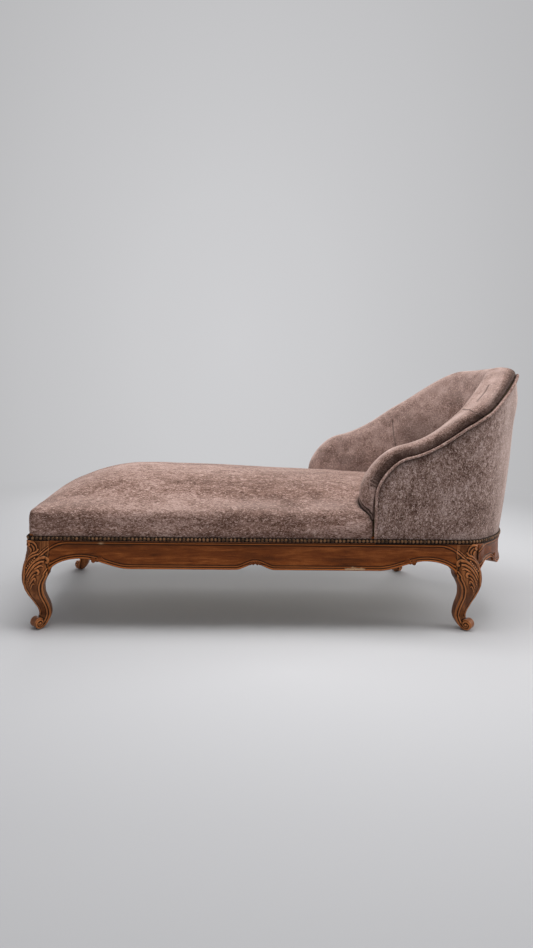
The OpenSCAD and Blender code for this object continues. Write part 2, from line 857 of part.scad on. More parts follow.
// Solid inside the seat's shape, less the thickness of what lies over it
module seat_form(under, z0) {
    skin(concat(
        [for (z = [z0, rail_top])
            [for (p = seat_outline(-cover_d0 - under)) [p.x, p.y, z]]],
        [for (b = border_shares)
            [for (p = seat_outline(seat_swell * b[0] - under))
                [p.x, p.y, rail_top + (seat_edge_z - under - rail_top) * b[1]]]],
        [for (share = crown_shares)
            [for (p = seat_outline(-share * half_w - under)) [p.x, p.y, seat_z(p.x, p.y) - under]]]
    ), fan = true);
}

// Space under the hessian, which the springs hold up
spring_shares = [0.07, 0.16, 0.34, 0.64];
hessian_inset = 3 * strip_d;
module spring_form(over, z0) {
    skin(concat(
        [for (z = [z0, rail_top + gap])
            [for (p = seat_outline(over - hessian_inset)) [p.x, p.y, z]]],
        [for (share = spring_shares)
            [for (p = seat_outline(-share * half_w)) [p.x, p.y, springs_z(p.x, p.y) + over]]]
    ), fan = true);
}

// Space that the tub's wall takes out of the seat
tub_rows = 3;
seat_top_z = seat_edge_z + seat_crown;
function tub_space_ring(side, s) =
    concat(
        [for (k = [0:tub_rows])
            tub_point(side, s, show_top - overrun + (seat_top_z + roll_h - show_top) * k / tub_rows, -roll_h)],
        [for (k = [tub_rows:-1:0])
            tub_point(side, s, show_top - overrun + (seat_top_z + roll_h - show_top) * k / tub_rows,
                      back_t + pad_swell + gap)]
    );
function tub_space_line(lead) =
    let (front = arm_s(lead) - piping_r - gap)
    [for (k = [0:rise_steps]) front + (mid_s - front) * k / rise_steps];

module tub_space() {
    skin(around(
        [for (s = tub_space_line(0)) tub_space_ring(1, s)],
        [for (s = tub_space_line(far_arm_lead)) tub_space_ring(-1, s)]
    ));
}

// Space that the padded front of an arm takes out of the seat
module facing_space(side, lead) {
    turn_z = arm_z - arm_turn_h;
    s1 = arm_s(lead) + overrun;
    skin([for (k = [0:front_steps + 1])
        let (z = k <= front_steps ? roll_foot_z + (turn_z - roll_foot_z) * k / front_steps : seat_top_z + roll_h)
        concat(
            [for (p = reversed(roll_arc))
                tub_point(side, arm_s(lead) - 2 * gap - p[1] * fullness(k) * (1 + gap / roll_h), z - gap, p[0])],
            [tub_point(side, s1, z - gap, roll_w + gap), tub_point(side, s1, z - gap, 0)]
        )], fan = true);
}

module clear_of_tub() {
    difference() {
        children();
        tub_space();
        facing_space(1, 0);
        facing_space(-1, far_arm_lead);
    }
}

// Cover and tacking line of the seat and the back
cover_d0 = strip_d - 3 * gap - cover_t;
cover_z0 = show_top + gap;

module seat_cover() {
    color(velvet)
        placed()
            clear_of_tub()
                difference() {
                    seat_form(0, cover_z0);
                    seat_form(cover_t, cover_z0 - overrun);
                }
}

module seat_stuffing() {
    color(calico)
        placed()
            clear_of_tub()
                difference() {
                    seat_form(cover_t + gap, rail_top + gap);
                    spring_form(cloth_t + gap, show_top);
                }
}

module seat_hessian() {
    color(jute)
        placed()
            clear_of_tub()
                difference() {
                    spring_form(cloth_t, rail_top + gap / 2);
                    spring_form(0, rail_top - overrun);
                }
}

module dust_cover() {
    color(calico)
        placed()
            translate([0, 0, web_z - web_t - gap - cloth_t])
                linear_extrude(cloth_t)
                    difference() {
                        polygon(outline(-rail_t - gap, trim_steps));
                        for (side = [-1, 1], x = [leg_block / 2, head_leg_x - leg_block / 2])
                            translate([x, side * (half_w - leg_block / 2)])
                                square(leg_block + 2 * gap, center = true);
                    }
}

// Waisted coil spring of the given height
spring_turns = 3;
turn_sides = 6;
module coil_spring(height) {
    last = spring_turns * turn_sides;
    skin([for (k = [0:last])
        let (t = k / last,
             a = 360 * k / turn_sides,
             r = spring_r - (spring_r - spring_waist_r) * sin(180 * t),
             z = wire_d / 2 + (height - wire_d) * t)
        [for (b = [45:90:315]) [(r + wire_d / 2 * cos(b)) * cos(a), (r + wire_d / 2 * cos(b)) * sin(a),
                                z + wire_d / 2 * sin(b)]]]);
}

// Height of a spring's top, low enough to stay under the hessian all round
function spring_top(x, y) =
    min(springs_z(x + spring_r, abs(y) + spring_r), springs_z(x - spring_r, abs(y) + spring_r)) - 3 * twine_d;

spring_z0 = web_z + web_t + gap / 2;
module seat_springs() {
    color(steel)
        placed()
            for (column = [0:spring_columns - 1], row = spring_rows)
                translate([spring_x(column), spring_y(column, row), spring_z0])
                    coil_spring(spring_top(spring_x(column), spring_y(column, row)) - spring_z0);
}

// Twine as a square cord along a row of points
module cord(points) {
    skin([for (p = points)
        [for (b = [45:90:315])
            p + twine_d / 2 * [0, cos(b), sin(b)]]]);
}

// Point of a tie above a spring, out from its middle by reach
function tie_point(column, row, reach, lift) =
    let (y = spring_y(column, row))
    [spring_x(column) + reach, y, spring_top(spring_x(column), y) + lift];

// Ties run from rail to rail over the springs and go down steeply inside the tub's padding
module spring_ties() {
    tie_z = show_top;
    rail_y = half_w - rail_t - gap;
    last = spring_columns - 1;
    low_lift = twine_d / 2 + 2 * gap;
    high_lift = low_lift + twine_d + gap;
    color(jute)
        placed() {
            for (row = spring_rows) {
                y = spring_y(last, row);
                cord(concat(
                    [[rail_t + gap, spring_y(0, row), tie_z], tie_point(0, row, -spring_r, low_lift)],
                    [for (column = [0:last]) tie_point(column, row, 0, low_lift)],
                    [tie_point(last, row, spring_r, low_lift),
                     [inner_x + sqrt(tub_room * tub_room - y * y), y, tie_z],
                     [bow_x + sqrt(pow(bow_r - rail_t - gap, 2) - y * y) - twine_d, y, tie_z]]
                ));
            }
            for (column = [0:last - 1]) {
                side_top = tie_point(column, 1, 0, high_lift);
                edge_y = side_top.y + spring_r;
                translate([spring_x(column), 0, 0])
                    rotate([0, 0, 90])
                        cord(concat(
                            [[-rail_y, 0, tie_z], [-tub_room, 0, tie_z], [-edge_y, 0, side_top.z]],
                            [for (row = spring_rows)
                                let (top = tie_point(column, row, 0, high_lift))
                                [top.y, 0, top.z]],
                            [[edge_y, 0, side_top.z], [tub_room, 0, tie_z], [rail_y, 0, tie_z]]
                        ));
            }
        }
}

// Wooden frame of the tub, inside its covers
wood_d0 = strip_d + 3 * gap;
wood_d1 = wood_d0 + wood_t;
wood_z0 = rail_top + gap;

function wood_ring(side, at) =
    [for (p = [[wood_d0, -2 * gap], [wood_d1, -2 * gap], [wood_d1, -2 * gap - wood_h], [wood_d0, -2 * gap - wood_h]])
        roll_point(side, at, p[0], p[1])];

// Curved front of an arm: its post and the turn at the top, cut from one board
module arm_front(side, lead) {
    line = edge_line(lead, wood_z0);
    color(beech)
        placed()
            skin(concat(
                [for (k = [0:front_steps + turn_steps - 1]) wood_ring(side, line[k])],
                [top_rail_ring(side, lead, rise_s(lead, 0))]
            ));
}

module arm_front_near() {
    arm_front(1, 0);
}

module arm_front_far() {
    arm_front(-1, far_arm_lead);
}

// Section of the sloping top rail at distance s
function top_rail_ring(side, lead, s) =
    let (z1 = edge_z(s, lead) - 2 * gap)
    [tub_point(side, s, z1, wood_d0), tub_point(side, s, z1, wood_d1),
     tub_point(side, s, z1 - wood_h, wood_d1), tub_point(side, s, z1 - wood_h, wood_d0)];

top_rail_share = 0.62;
function top_rail_line(lead, from_share, to_share) =
    [for (k = [ceil(rise_steps * from_share):floor(rise_steps * to_share)]) rise_s(lead, k)];

module top_rail(side, lead) {
    line = top_rail_line(lead, 0, top_rail_share);
    color(beech)
        placed()
            skin([for (k = [0:len(line) - 1])
                top_rail_ring(side, lead, line[k] + (k == 0 ? gap : 0))]);
}

module top_rail_near() {
    top_rail(1, 0);
}

module top_rail_far() {
    top_rail(-1, far_arm_lead);
}

module top_rail_head() {
    near = top_rail_line(0, top_rail_share - 1 / rise_steps, 1);
    far = top_rail_line(far_arm_lead, top_rail_share - 1 / rise_steps, 1);
    color(beech)
        placed()
            skin(around(
                [for (k = [0:len(near) - 1]) top_rail_ring(1, 0, near[k] + (k == 0 ? gap : 0))],
                [for (k = [0:len(far) - 1]) top_rail_ring(-1, far_arm_lead, far[k] + (k == 0 ? gap : 0))]
            ));
}

// Uprights that carry the top rail on the seat rail
upright_rows = 5;
front_upright_share = 0.27;
back_upright_share = 0.6;

// Height of row k of an upright at distance s
function upright_z(s, lead, k) =
    wood_z0 + (edge_z(s, lead) - wood_h - 6 * gap - wood_z0) * k / upright_rows;

module upright(side, lead, share) {
    level = arm_s(lead) + arm_turn_l;
    s = level + (mid_s - level) * share;
    s0 = s - upright_w / 2;
    s1 = s + upright_w / 2;
    color(beech)
        placed()
            skin([for (k = [0:upright_rows])
                [tub_point(side, s0, upright_z(s0, lead, k), wood_d0), tub_point(side, s0, upright_z(s0, lead, k), wood_d1),
                 tub_point(side, s1, upright_z(s1, lead, k), wood_d1), tub_point(side, s1, upright_z(s1, lead, k), wood_d0)]]);
}

module upright_near_front() {
    upright(1, 0, front_upright_share);
}

module upright_near_back() {
    upright(1, 0, back_upright_share);
}

module upright_far_back() {
    upright(-1, far_arm_lead, back_upright_share);
}

module upright_far_front() {
    upright(-1, far_arm_lead, front_upright_share);
}

module upright_head() {
    s = mid_s - upright_w / 2;
    color(beech)
        placed()
            skin([for (k = [0:upright_rows])
                let (z = upright_z(s, 0, k))
                [tub_point(1, s, z, wood_d0), tub_point(1, s, z, wood_d1),
                 tub_point(-1, s, z, wood_d1), tub_point(-1, s, z, wood_d0)]]);
}

// Straps inside the uprights, from arm to arm
band_shares = [0.24, 0.5, 0.76];
band_d = wood_d1 + 3 * gap;
function band_ring(side, lead, s, share) =
    let (z = wood_z0 + (edge_z(s, lead) - wood_z0) * share)
    [tub_point(side, s, z - web_w / 2, band_d), tub_point(side, s, z + web_w / 2, band_d),
     tub_point(side, s, z + web_w / 2, band_d + web_t), tub_point(side, s, z - web_w / 2, band_d + web_t)];

module back_webbing() {
    near = top_rail_line(0, 0, 1);
    far = top_rail_line(far_arm_lead, 0, 1);
    color(jute)
        placed()
            for (share = band_shares)
                skin(around(
                    [for (s = near) band_ring(1, 0, s, share)],
                    [for (s = far) band_ring(-1, far_arm_lead, s, share)]
                ));
}

hessian_d = band_d + web_t + gap;
pad_d = hessian_d + cloth_t + 2 * gap;

module back_hessian() {
    color(jute)
        placed()
            wall_layer(hessian_d, hessian_d + cloth_t, 0, rail_top + 2 * gap, 3 * gap, 3 * gap);
}

module inside_back_pad() {
    color(velvet)
        placed()
            wall_layer(pad_d, back_t, pad_swell, rail_top + 2 * gap, 3 * gap, 3 * gap);
}

module outside_back_cover() {
    color(velvet)
        placed()
            wall_layer(cover_d0, cover_d0 + cover_t, 0, cover_z0, 3 * gap, 3 * gap);
}

// Roll along the top of the tub and down the front of both arms, in a D shape with a hollow flat side down
roll_w_share = 0.95;
roll_w = back_t * roll_w_share;
roll_sides = 12;
roll_hollow_share = 0.08;
roll_power_share = 0.8;
roll_arc = [for (k = [roll_sides:-1:0])
    let (a = 180 * k / roll_sides)
    [roll_w / 2 * (1 - cos(a)), roll_h * pow(sin(a), roll_power_share)]];
roll_profile = concat([[roll_w / 2, roll_h * roll_hollow_share]], roll_arc);

// How full the roll is at each ring from its lower end, where it tapers into the slit beside the seat
taper_shares = [0.15, 0.66];
function fullness(k) = k < len(taper_shares) ? taper_shares[k] : 1;
function roll_ring(side, at, k) = [for (p = roll_profile) roll_point(side, at, p[0], p[1] * fullness(k))];
function roll_rings(side, lead) =
    let (line = edge_line(lead, roll_foot_z))
    [for (k = [0:len(line) - 1]) roll_ring(side, line[k], k)];

module back_roll() {
    color(velvet)
        placed()
            skin(around(roll_rings(1, 0), roll_rings(-1, far_arm_lead)));
}

// Piping in the seam between the roll and the outside cover
piping_sides = 6;
function piping_ring(side, at) =
    [for (k = [0:piping_sides - 1])
        let (a = 360 * k / piping_sides)
        roll_point(side, at, cover_d0 - piping_r - gap + piping_r * cos(a), piping_r * sin(a))];

module back_piping() {
    z0 = cover_z0 + braid_h + gap;
    color(velvet)
        placed()
            skin(around(
                [for (at = edge_line(0, z0)) piping_ring(1, at)],
                [for (at = edge_line(far_arm_lead, z0)) piping_ring(-1, at)]
            ));
}

// Braid over the tacked edge of the covers, all the way round
braid_out = -cover_d0 + gap;
module braid() {
    inner = outline(braid_out, trim_steps);
    outer = outline(braid_out + braid_t, trim_steps);
    color(braid_colour)
        placed()
            skin([for (k = [0:len(inner) - 1])
                [[inner[k].x, inner[k].y, cover_z0], [outer[k].x, outer[k].y, cover_z0],
                 [outer[k].x, outer[k].y, cover_z0 + braid_h], [inner[k].x, inner[k].y, cover_z0 + braid_h]]],
                 loop = true);
}

// Nails with domed heads, close together along the braid
nail_z = cover_z0 + braid_h / 2;
nail_out = braid_out + braid_t + gap / 2;
nail_top_share = 0.5;
module nail(place, angle) {
    translate([place.x, place.y, nail_z])
        rotate([90, 0, angle])
            cylinder(h = nail_h, d1 = nail_d, d2 = nail_d * nail_top_share, $fn = 20);
}

module side_nails(side) {
    run = ease_x - foot_corner_r;
    count = floor(run / nail_pitch);
    color(brass)
        placed()
            on_side(side)
                for (k = [0:count])
                    nail([foot_corner_r + run * k / count, -half_w - nail_out], 0);
}

module nails_near() {
    side_nails(1);
}

module nails_far() {
    side_nails(-1);
}

module nails_head() {
    count = floor(mid_s / nail_pitch);
    color(brass)
        placed()
            for (side = [-1, 1], k = [1:count]) {
                s = mid_s * k / (count + 0.5);
                on_side(side)
                    nail(plan_point(s, nail_out), heading(s));
            }
}

module nails_foot() {
    run = frame_w - 2 * foot_corner_r;
    count = floor(run / nail_pitch);
    corner_r_out = foot_corner_r + nail_out;
    corner_count = floor(corner_r_out * PI / 2 / nail_pitch);
    color(brass)
        placed() {
            for (k = [0:count])
                nail([-nail_out, -run / 2 + run * k / count], -90);
            for (side = [-1, 1], k = [1:corner_count - 1])
                on_side(side)
                    nail([foot_corner_r - corner_r_out * cos(90 * k / corner_count),
                          foot_corner_r - half_w - corner_r_out * sin(90 * k / corner_count)],
                         -90 + 90 * k / corner_count);
        }
}

leg_foot_near();
leg_foot_far();
leg_head_near();
leg_head_far();
rail_near();
rail_far();
rail_foot();
rail_head();
dowels();
corner_block_foot_near();
corner_block_foot_far();
glue_block_head_near();
glue_block_head_far();
block_screws();
batten_near();
batten_far();
batten_foot();
batten_head();
cross_brace_foot();
cross_brace_head();
seat_webbing();
seat_springs();
spring_ties();
seat_hessian();
seat_stuffing();
seat_cover();
dust_cover();
arm_front_near();
arm_front_far();
top_rail_near();
top_rail_far();
top_rail_head();
upright_near_front();
upright_near_back();
upright_head();
upright_far_back();
upright_far_front();
back_webbing();
back_hessian();
inside_back_pad();
back_roll();
outside_back_cover();
back_piping();
braid();
nails_near();
nails_far();
nails_foot();
nails_head();
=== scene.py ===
import json
import math

import bmesh
import bpy
import numpy as np
from mathutils import Matrix, Vector
from mathutils.kdtree import KDTree


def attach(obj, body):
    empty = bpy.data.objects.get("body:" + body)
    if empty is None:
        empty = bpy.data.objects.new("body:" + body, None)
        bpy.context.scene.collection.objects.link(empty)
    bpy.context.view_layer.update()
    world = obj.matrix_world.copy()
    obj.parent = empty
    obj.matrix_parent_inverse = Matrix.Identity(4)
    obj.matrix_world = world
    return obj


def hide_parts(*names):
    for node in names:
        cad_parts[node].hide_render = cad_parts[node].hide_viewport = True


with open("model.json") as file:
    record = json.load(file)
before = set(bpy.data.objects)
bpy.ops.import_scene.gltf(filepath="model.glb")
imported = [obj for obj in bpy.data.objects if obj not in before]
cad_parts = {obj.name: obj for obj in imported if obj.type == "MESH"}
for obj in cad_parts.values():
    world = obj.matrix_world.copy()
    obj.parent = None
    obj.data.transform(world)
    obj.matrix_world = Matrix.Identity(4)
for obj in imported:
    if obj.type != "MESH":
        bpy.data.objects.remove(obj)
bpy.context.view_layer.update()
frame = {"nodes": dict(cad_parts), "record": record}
SCENE = bpy.context.scene

# The couch's measures in mm, as the solids have them: X from the foot end, Y across, Z up
FRAME_L, FRAME_W, BOW_DEPTH, CORNER_R = 1620.0, 710.0, 220.0, 130.0
SHOW_TOP, RAIL_T, STRIP_H, STRIP_D = 280.0, 30.0, 22.0, 4.0
LOBE_DROP, ARCH_DROP, WING_DROP, NOTCH_DROP = 84.0, 53.0, 104.0, 66.0
LEG_BLOCK, KNEE_SWELL, SCROLL_W = 68.0, 16.0, 42.0
SEAT_EDGE_Z, SEAT_CROWN, CROWN_FALL = 378.0, 108.0, 25.0
FOOT_CORNER_R, COVER_T = 20.0, 3.0
TUB_L, FAR_LEAD, ARM_Z, CREST_Z, CREST_HALF = 534.0, 46.0, 552.0, 834.0, 168.0
ARM_TURN_L, ARM_TURN_H, HEAD_LEAN, SIDE_LEAN = 98.0, 112.0, 56.0, 8.0
BACK_T, ROLL_FOOT_Z, PAD_SWELL, PIPING_R = 100.0, 343.0, 12.0, 4.5
BRAID_H, BRAID_T, NAIL_D, NAIL_H, NAIL_PITCH = 17.0, 1.5, 11.4, 3.4, 12.2
GAP = 0.4
HALF_W = FRAME_W / 2
RAIL_TOP = SHOW_TOP + STRIP_H
BOW_R = (HALF_W ** 2 + BOW_DEPTH ** 2) / (2 * BOW_DEPTH)
BOW_X = FRAME_L - BOW_R
EASE_X = BOW_X + math.sqrt((BOW_R - CORNER_R) ** 2 - (HALF_W - CORNER_R) ** 2)
EASE_A = math.asin((EASE_X - BOW_X) / (BOW_R - CORNER_R))
EASE_S = CORNER_R * EASE_A
MID_S = EASE_S + BOW_R * (math.pi / 2 - EASE_A)
INNER_R = HALF_W - BACK_T
INNER_X = FRAME_L - HALF_W
STRAIGHT_S = INNER_X - EASE_X
MIDDLE_X = (FRAME_L + HEAD_LEAN + 2 * PIPING_R - KNEE_SWELL) / 2
ARM_X = FRAME_L - TUB_L
ARM_TOP = ARM_Z - ARM_TURN_H
HEAD_LEG_X = FRAME_L - BOW_DEPTH + LEG_BLOCK / 4
COVER_D0 = STRIP_D - 3 * GAP - COVER_T
COVER_Z0 = SHOW_TOP + GAP
ROLL_W = BACK_T * 0.95
SEAT_MID_X = HALF_W
SIDES = ((1, 0.0), (-1, FAR_LEAD))  # near and far: the sign of -Y, and how far the arm starts ahead


# ---------------------------------------------------------------- plan of the couch, as in the solids
def smooth(t):
    c = np.clip(t, 0, 1)
    return c * c * (3 - 2 * c)


def bell(v, centre, width):
    return np.exp(-((v - centre) / width) ** 2)


def heading(s):
    """Direction of the frame's outline at s, measured from where the near side starts to turn."""
    s = np.asarray(s, float)
    return np.where(s <= 0, 0, np.where(s <= EASE_S, s / CORNER_R, EASE_A + (s - EASE_S) / BOW_R))


def plan_point(s, grow=0.0):
    """Point of the frame's outline at s: straight side, corner, bow."""
    s = np.asarray(s, float)
    a = heading(s)
    turns, bows = s > 0, s > EASE_S
    r = np.where(bows, BOW_R, CORNER_R) + grow
    x = np.where(turns, np.where(bows, BOW_X, EASE_X) + r * np.sin(a), EASE_X + s)
    y = np.where(turns, np.where(bows, 0.0, CORNER_R - HALF_W) - r * np.cos(a), -HALF_W - grow)
    return x, y


def tub_point(side, s, z, d):
    """Point in the tub's wall: s along it, z up, d inwards from its outside face."""
    s, z, d = np.broadcast_arrays(np.asarray(s, float), np.asarray(z, float), np.asarray(d, float))
    t = np.maximum(0, z - RAIL_TOP) / (CREST_Z - RAIL_TOP)
    lean = t * (1 + 0.6 * (1 - t))
    a = heading(s)
    b = np.where(s <= STRAIGHT_S, 0, math.pi / 2 * (s - STRAIGHT_S) / (MID_S - STRAIGHT_S))
    px, py = plan_point(s)
    qx = np.where(s <= STRAIGHT_S, EASE_X + s, INNER_X + INNER_R * np.sin(b))
    qy = np.where(s <= STRAIGHT_S, -INNER_R, -INNER_R * np.cos(b))
    px, py = px + lean * HEAD_LEAN * np.sin(a), py - lean * SIDE_LEAN * np.cos(a)
    qx, qy = qx + lean * HEAD_LEAN * np.sin(b), qy - lean * SIDE_LEAN * np.cos(b)
    k = d / BACK_T
    return np.stack([px + (qx - px) * k, side * (py + (qy - py) * k), z], -1)


def arm_s(lead):
    return ARM_X - lead - EASE_X


def edge_z(s, lead):
    """Height of the tub's edge at s."""
    front = arm_s(lead)
    t = np.clip((s - front - ARM_TURN_L) / (MID_S - CREST_HALF - front - ARM_TURN_L), 0, 1)
    rise = smooth(t) + 0.3 * (t - smooth(t))
    back = np.maximum(0, 1 - (s - front) / ARM_TURN_L)
    drop = 1 - np.maximum(0, 1 - np.minimum(1, back) ** 1.45) ** (1 / 1.45)
    return ARM_Z + (CREST_Z - ARM_Z) * rise - ARM_TURN_H * drop


def run_of(points):
    """Length run at each point of a line."""
    return np.concatenate([[0], np.cumsum(np.linalg.norm(np.diff(points, axis=0), axis=1))])


def edge_line(lead, z0, n_front, n_turn, n_rise):
    """Stations s, z and line angle from the foot of an arm to the middle of the head, with soft bends."""
    ease, parts = 12.0, 400
    front = arm_s(lead)
    q = np.linspace(0, 1, parts)
    s = np.concatenate([[front, front], front + ARM_TURN_L * (1 - np.cos(math.pi / 2 * q[1:])),
                        front + ARM_TURN_L + (MID_S - front - ARM_TURN_L) * q[1:], [MID_S + 60]])
    z = np.concatenate([[z0, ARM_TOP], edge_z(s[2:], lead)])
    z[-1] = z[-2]
    run = np.concatenate([[0], np.cumsum(np.hypot(np.diff(s), np.diff(z)))])
    even = np.arange(0, run[-1], 1.0)
    width = int(3 * ease)
    w = np.exp(-0.5 * (np.arange(-width, width + 1) / ease) ** 2)
    w /= w.sum()

    def softened(v):
        v = np.interp(even, run, v)
        ends = v[0] - (v[width:0:-1] - v[0]), v[-1] - (v[-2:-width - 2:-1] - v[-1])
        return np.convolve(np.concatenate([ends[0], v, ends[1]]), w, "valid")

    ss, zz = softened(s), softened(z)
    angle = np.arctan2(np.gradient(zz), np.gradient(ss))
    foot = ARM_TOP - z0
    turn = run[parts + 1] - foot
    rest = np.interp(MID_S, ss, even) - foot - turn
    where = np.concatenate([np.linspace(0, foot, n_front + 1), foot + turn * np.linspace(0, 1, n_turn + 1)[1:],
                            foot + turn + rest * np.linspace(0, 1, n_rise + 1)[1:]])
    out_s = np.minimum(np.interp(where, even, ss), MID_S)
    out_s[-1] = MID_S
    return out_s, np.interp(where, even, zz), np.interp(where, even, angle)


def apron_drop(u, half, arch, lobe, notch):
    """How far a rail's lower edge hangs below its top, at u along it."""
    u = np.asarray(u, float)
    v = np.minimum(u, 2 * half - u)
    wing = 1 - np.sqrt(np.maximum(0, 1 - ((arch - np.minimum(v, arch)) / arch) ** 2))
    lobed = ARCH_DROP + (LOBE_DROP - ARCH_DROP) * smooth((v - arch) / (lobe - arch))
    notched = LOBE_DROP - (LOBE_DROP - NOTCH_DROP) * smooth((v - half + notch) / notch)
    return np.where(v < arch, ARCH_DROP + (WING_DROP - ARCH_DROP) * wing, np.where(v < half - notch, lobed, notched))


def outline(grow, steps):
    """Closed outline of the frame; the steps are those of the foot corner, the side, the ease and the bow."""
    r = max(FOOT_CORNER_R, GAP - grow)
    foot_y, n = HALF_W - r, 10
    a = math.pi + math.pi / 2 * np.arange(steps[0] + 1) / steps[0]
    x = r + (EASE_X - r) * np.arange(1, steps[1] + 1) / steps[1]
    ease = EASE_S * np.arange(1, steps[2] + 1) / steps[2]
    bow = EASE_S + (MID_S - EASE_S) * np.arange(1, steps[3] + 1) / (steps[3] + 0.5)
    half = np.concatenate([np.stack(part, -1) for part in (
        (np.full(n, -grow), -foot_y * (np.arange(n) + 0.5) / n),
        (r + (r + grow) * np.cos(a), -foot_y + (r + grow) * np.sin(a)),
        (x, np.full_like(x, -HALF_W - grow)), plan_point(ease, grow), plan_point(bow, grow))])
    return np.concatenate([half, half[::-1] * [1, -1]])


def seat_z(x, y):
    across = np.minimum(1, np.abs(y) / HALF_W)
    foot = np.where(x < SEAT_MID_X, np.minimum(1, (SEAT_MID_X - x) / SEAT_MID_X), 0)
    head = np.where(x > INNER_X, np.minimum(1, (x - INNER_X) / HALF_W), 0)
    dome = (1 - across ** 2.4) * (1 - foot ** 2.4) * (1 - head ** 2.4)
    crown = SEAT_CROWN - CROWN_FALL * smooth((x - SEAT_MID_X) / (INNER_X - SEAT_MID_X))
    return SEAT_EDGE_Z + crown * dome


# ---------------------------------------------------------------- mesh helpers
def to_scene(points):
    p = np.asarray(points, float).reshape(-1, 3) / 1000.0
    p[:, 0] -= MIDDLE_X / 1000.0
    return p


def add_object(name, data):
    ob = bpy.data.objects.new(name, data)
    SCENE.collection.objects.link(ob)
    return ob


def new_piece(name, points, faces, material=None):
    me = bpy.data.meshes.new(name)
    me.from_pydata(to_scene(points).tolist(), [], [tuple(int(i) for i in f) for f in faces])
    me.validate()
    me.update()
    me.polygons.foreach_set("use_smooth", [True] * len(me.polygons))
    if material:
        me.materials.append(material)
    ob = add_object(name, me)
    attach(ob, "root")
    return ob


def grid_faces(m, n, base=0, loop_m=False, loop_n=False):
    i = np.arange(m if loop_m else m - 1)[:, None]
    j = np.arange(n if loop_n else n - 1)[None, :]
    here, on = base + i * n, base + ((i + 1) % m) * n
    return np.stack([here + j, here + (j + 1) % n, on + (j + 1) % n, on + j], -1).reshape(-1, 4)


def flip(faces):
    return [tuple(f)[::-1] for f in faces]


def close_normals(ob, weld=True):
    bm = bmesh.new()
    bm.from_mesh(ob.data)
    if weld:
        bmesh.ops.remove_doubles(bm, verts=bm.verts, dist=0.0002)
    bmesh.ops.recalc_face_normals(bm, faces=bm.faces)
    bm.to_mesh(ob.data)
    bm.free()
    ob.data.polygons.foreach_set("use_smooth", [True] * len(ob.data.polygons))
    ob.data.update()


def skin_faces(m, n, base=0):
    """Faces of a closed skin over m rings of n points each."""
    faces = [tuple(f) for f in grid_faces(m, n, base, loop_n=True)]
    faces.append(tuple(base + k for k in range(n))[::-1])
    faces.append(tuple(base + (m - 1) * n + k for k in range(n)))
    return faces


def skin(name, rings, material=None, loop=False, weld=True):
    """Closed skin over a row of rings of as many points each (an array of m x n x 3)."""
    m, n = rings.shape[:2]
    ob = new_piece(name, rings, grid_faces(m, n, loop_m=True, loop_n=True) if loop else skin_faces(m, n), material)
    if weld:
        close_normals(ob)
    return ob


def attribute(ob, name, values):
    at = ob.data.attributes.new(name, "FLOAT", "POINT")
    at.data.foreach_set("value", np.asarray(values, np.float32).ravel())


def modify(ob, kind, **settings):
    """Runs one modifier on the mesh and keeps the result."""
    mod = ob.modifiers.new(kind.lower(), kind)
    for key, value in settings.items():
        setattr(mod, key, value)
    dg = bpy.context.evaluated_depsgraph_get()
    dg.update()
    me = bpy.data.meshes.new_from_object(ob.evaluated_get(dg))
    me.name = ob.name
    ob.modifiers.clear()
    old, ob.data = ob.data, me
    if old.users == 0:
        bpy.data.meshes.remove(old)


def remesh(ob, voxel):
    modify(ob, "REMESH", mode="VOXEL", voxel_size=voxel / 1000.0, use_smooth_shade=True)


def read(items, key, width=3, kind=np.float32):
    out = np.empty(len(items) * width, kind)
    items.foreach_get(key, out)
    return out.reshape(-1, width)


def local_mm(me):
    return read(me.vertices, "co").astype(float) * 1000.0


def coords(me):
    p = local_mm(me)
    p[:, 0] += MIDDLE_X
    return p


def normals(me):
    return read(me.vertices, "normal")


def set_coords(ob, p):
    ob.data.vertices.foreach_set("co", to_scene(p).astype(np.float32).ravel())
    ob.data.update()


def scatter(k):
    return np.modf(np.abs(np.sin(k) * 43758.5453))[0] * 2 - 1


def noise1(x, seed):
    """Smooth repeatable noise of numbers, about -1 to 1."""
    x = np.asarray(x, float)
    i = np.floor(x)
    f = smooth(x - i)
    return scatter(i * 127.1 + seed * 311.7) * (1 - f) + scatter((i + 1) * 127.1 + seed * 311.7) * f


def noise3(p, scale, seed):
    """Smooth repeatable noise of points in mm, about -1 to 1."""
    q = np.asarray(p, float) / scale + seed * 17.31
    i = np.floor(q)
    f = smooth(q - i)
    out = 0.0
    for corner in np.ndindex(2, 2, 2):
        k = i + corner
        share = np.where(corner, f, 1 - f).prod(-1)
        out = out + scatter(k[..., 0] * 127.1 + k[..., 1] * 311.7 + k[..., 2] * 74.7) * share
    return out


def tree_of(points):
    tree = KDTree(len(points))
    for k, q in enumerate(points):
        tree.insert(q, k)
    tree.balance()
    return tree


CLOTH_FRAMES = 20
CLOTH = {"quality": 4, "mass": 0.3, "use_pressure": True, "uniform_pressure_force": 4.0, "vertex_group_mass": "held",
         "pin_stiffness": 1.0}


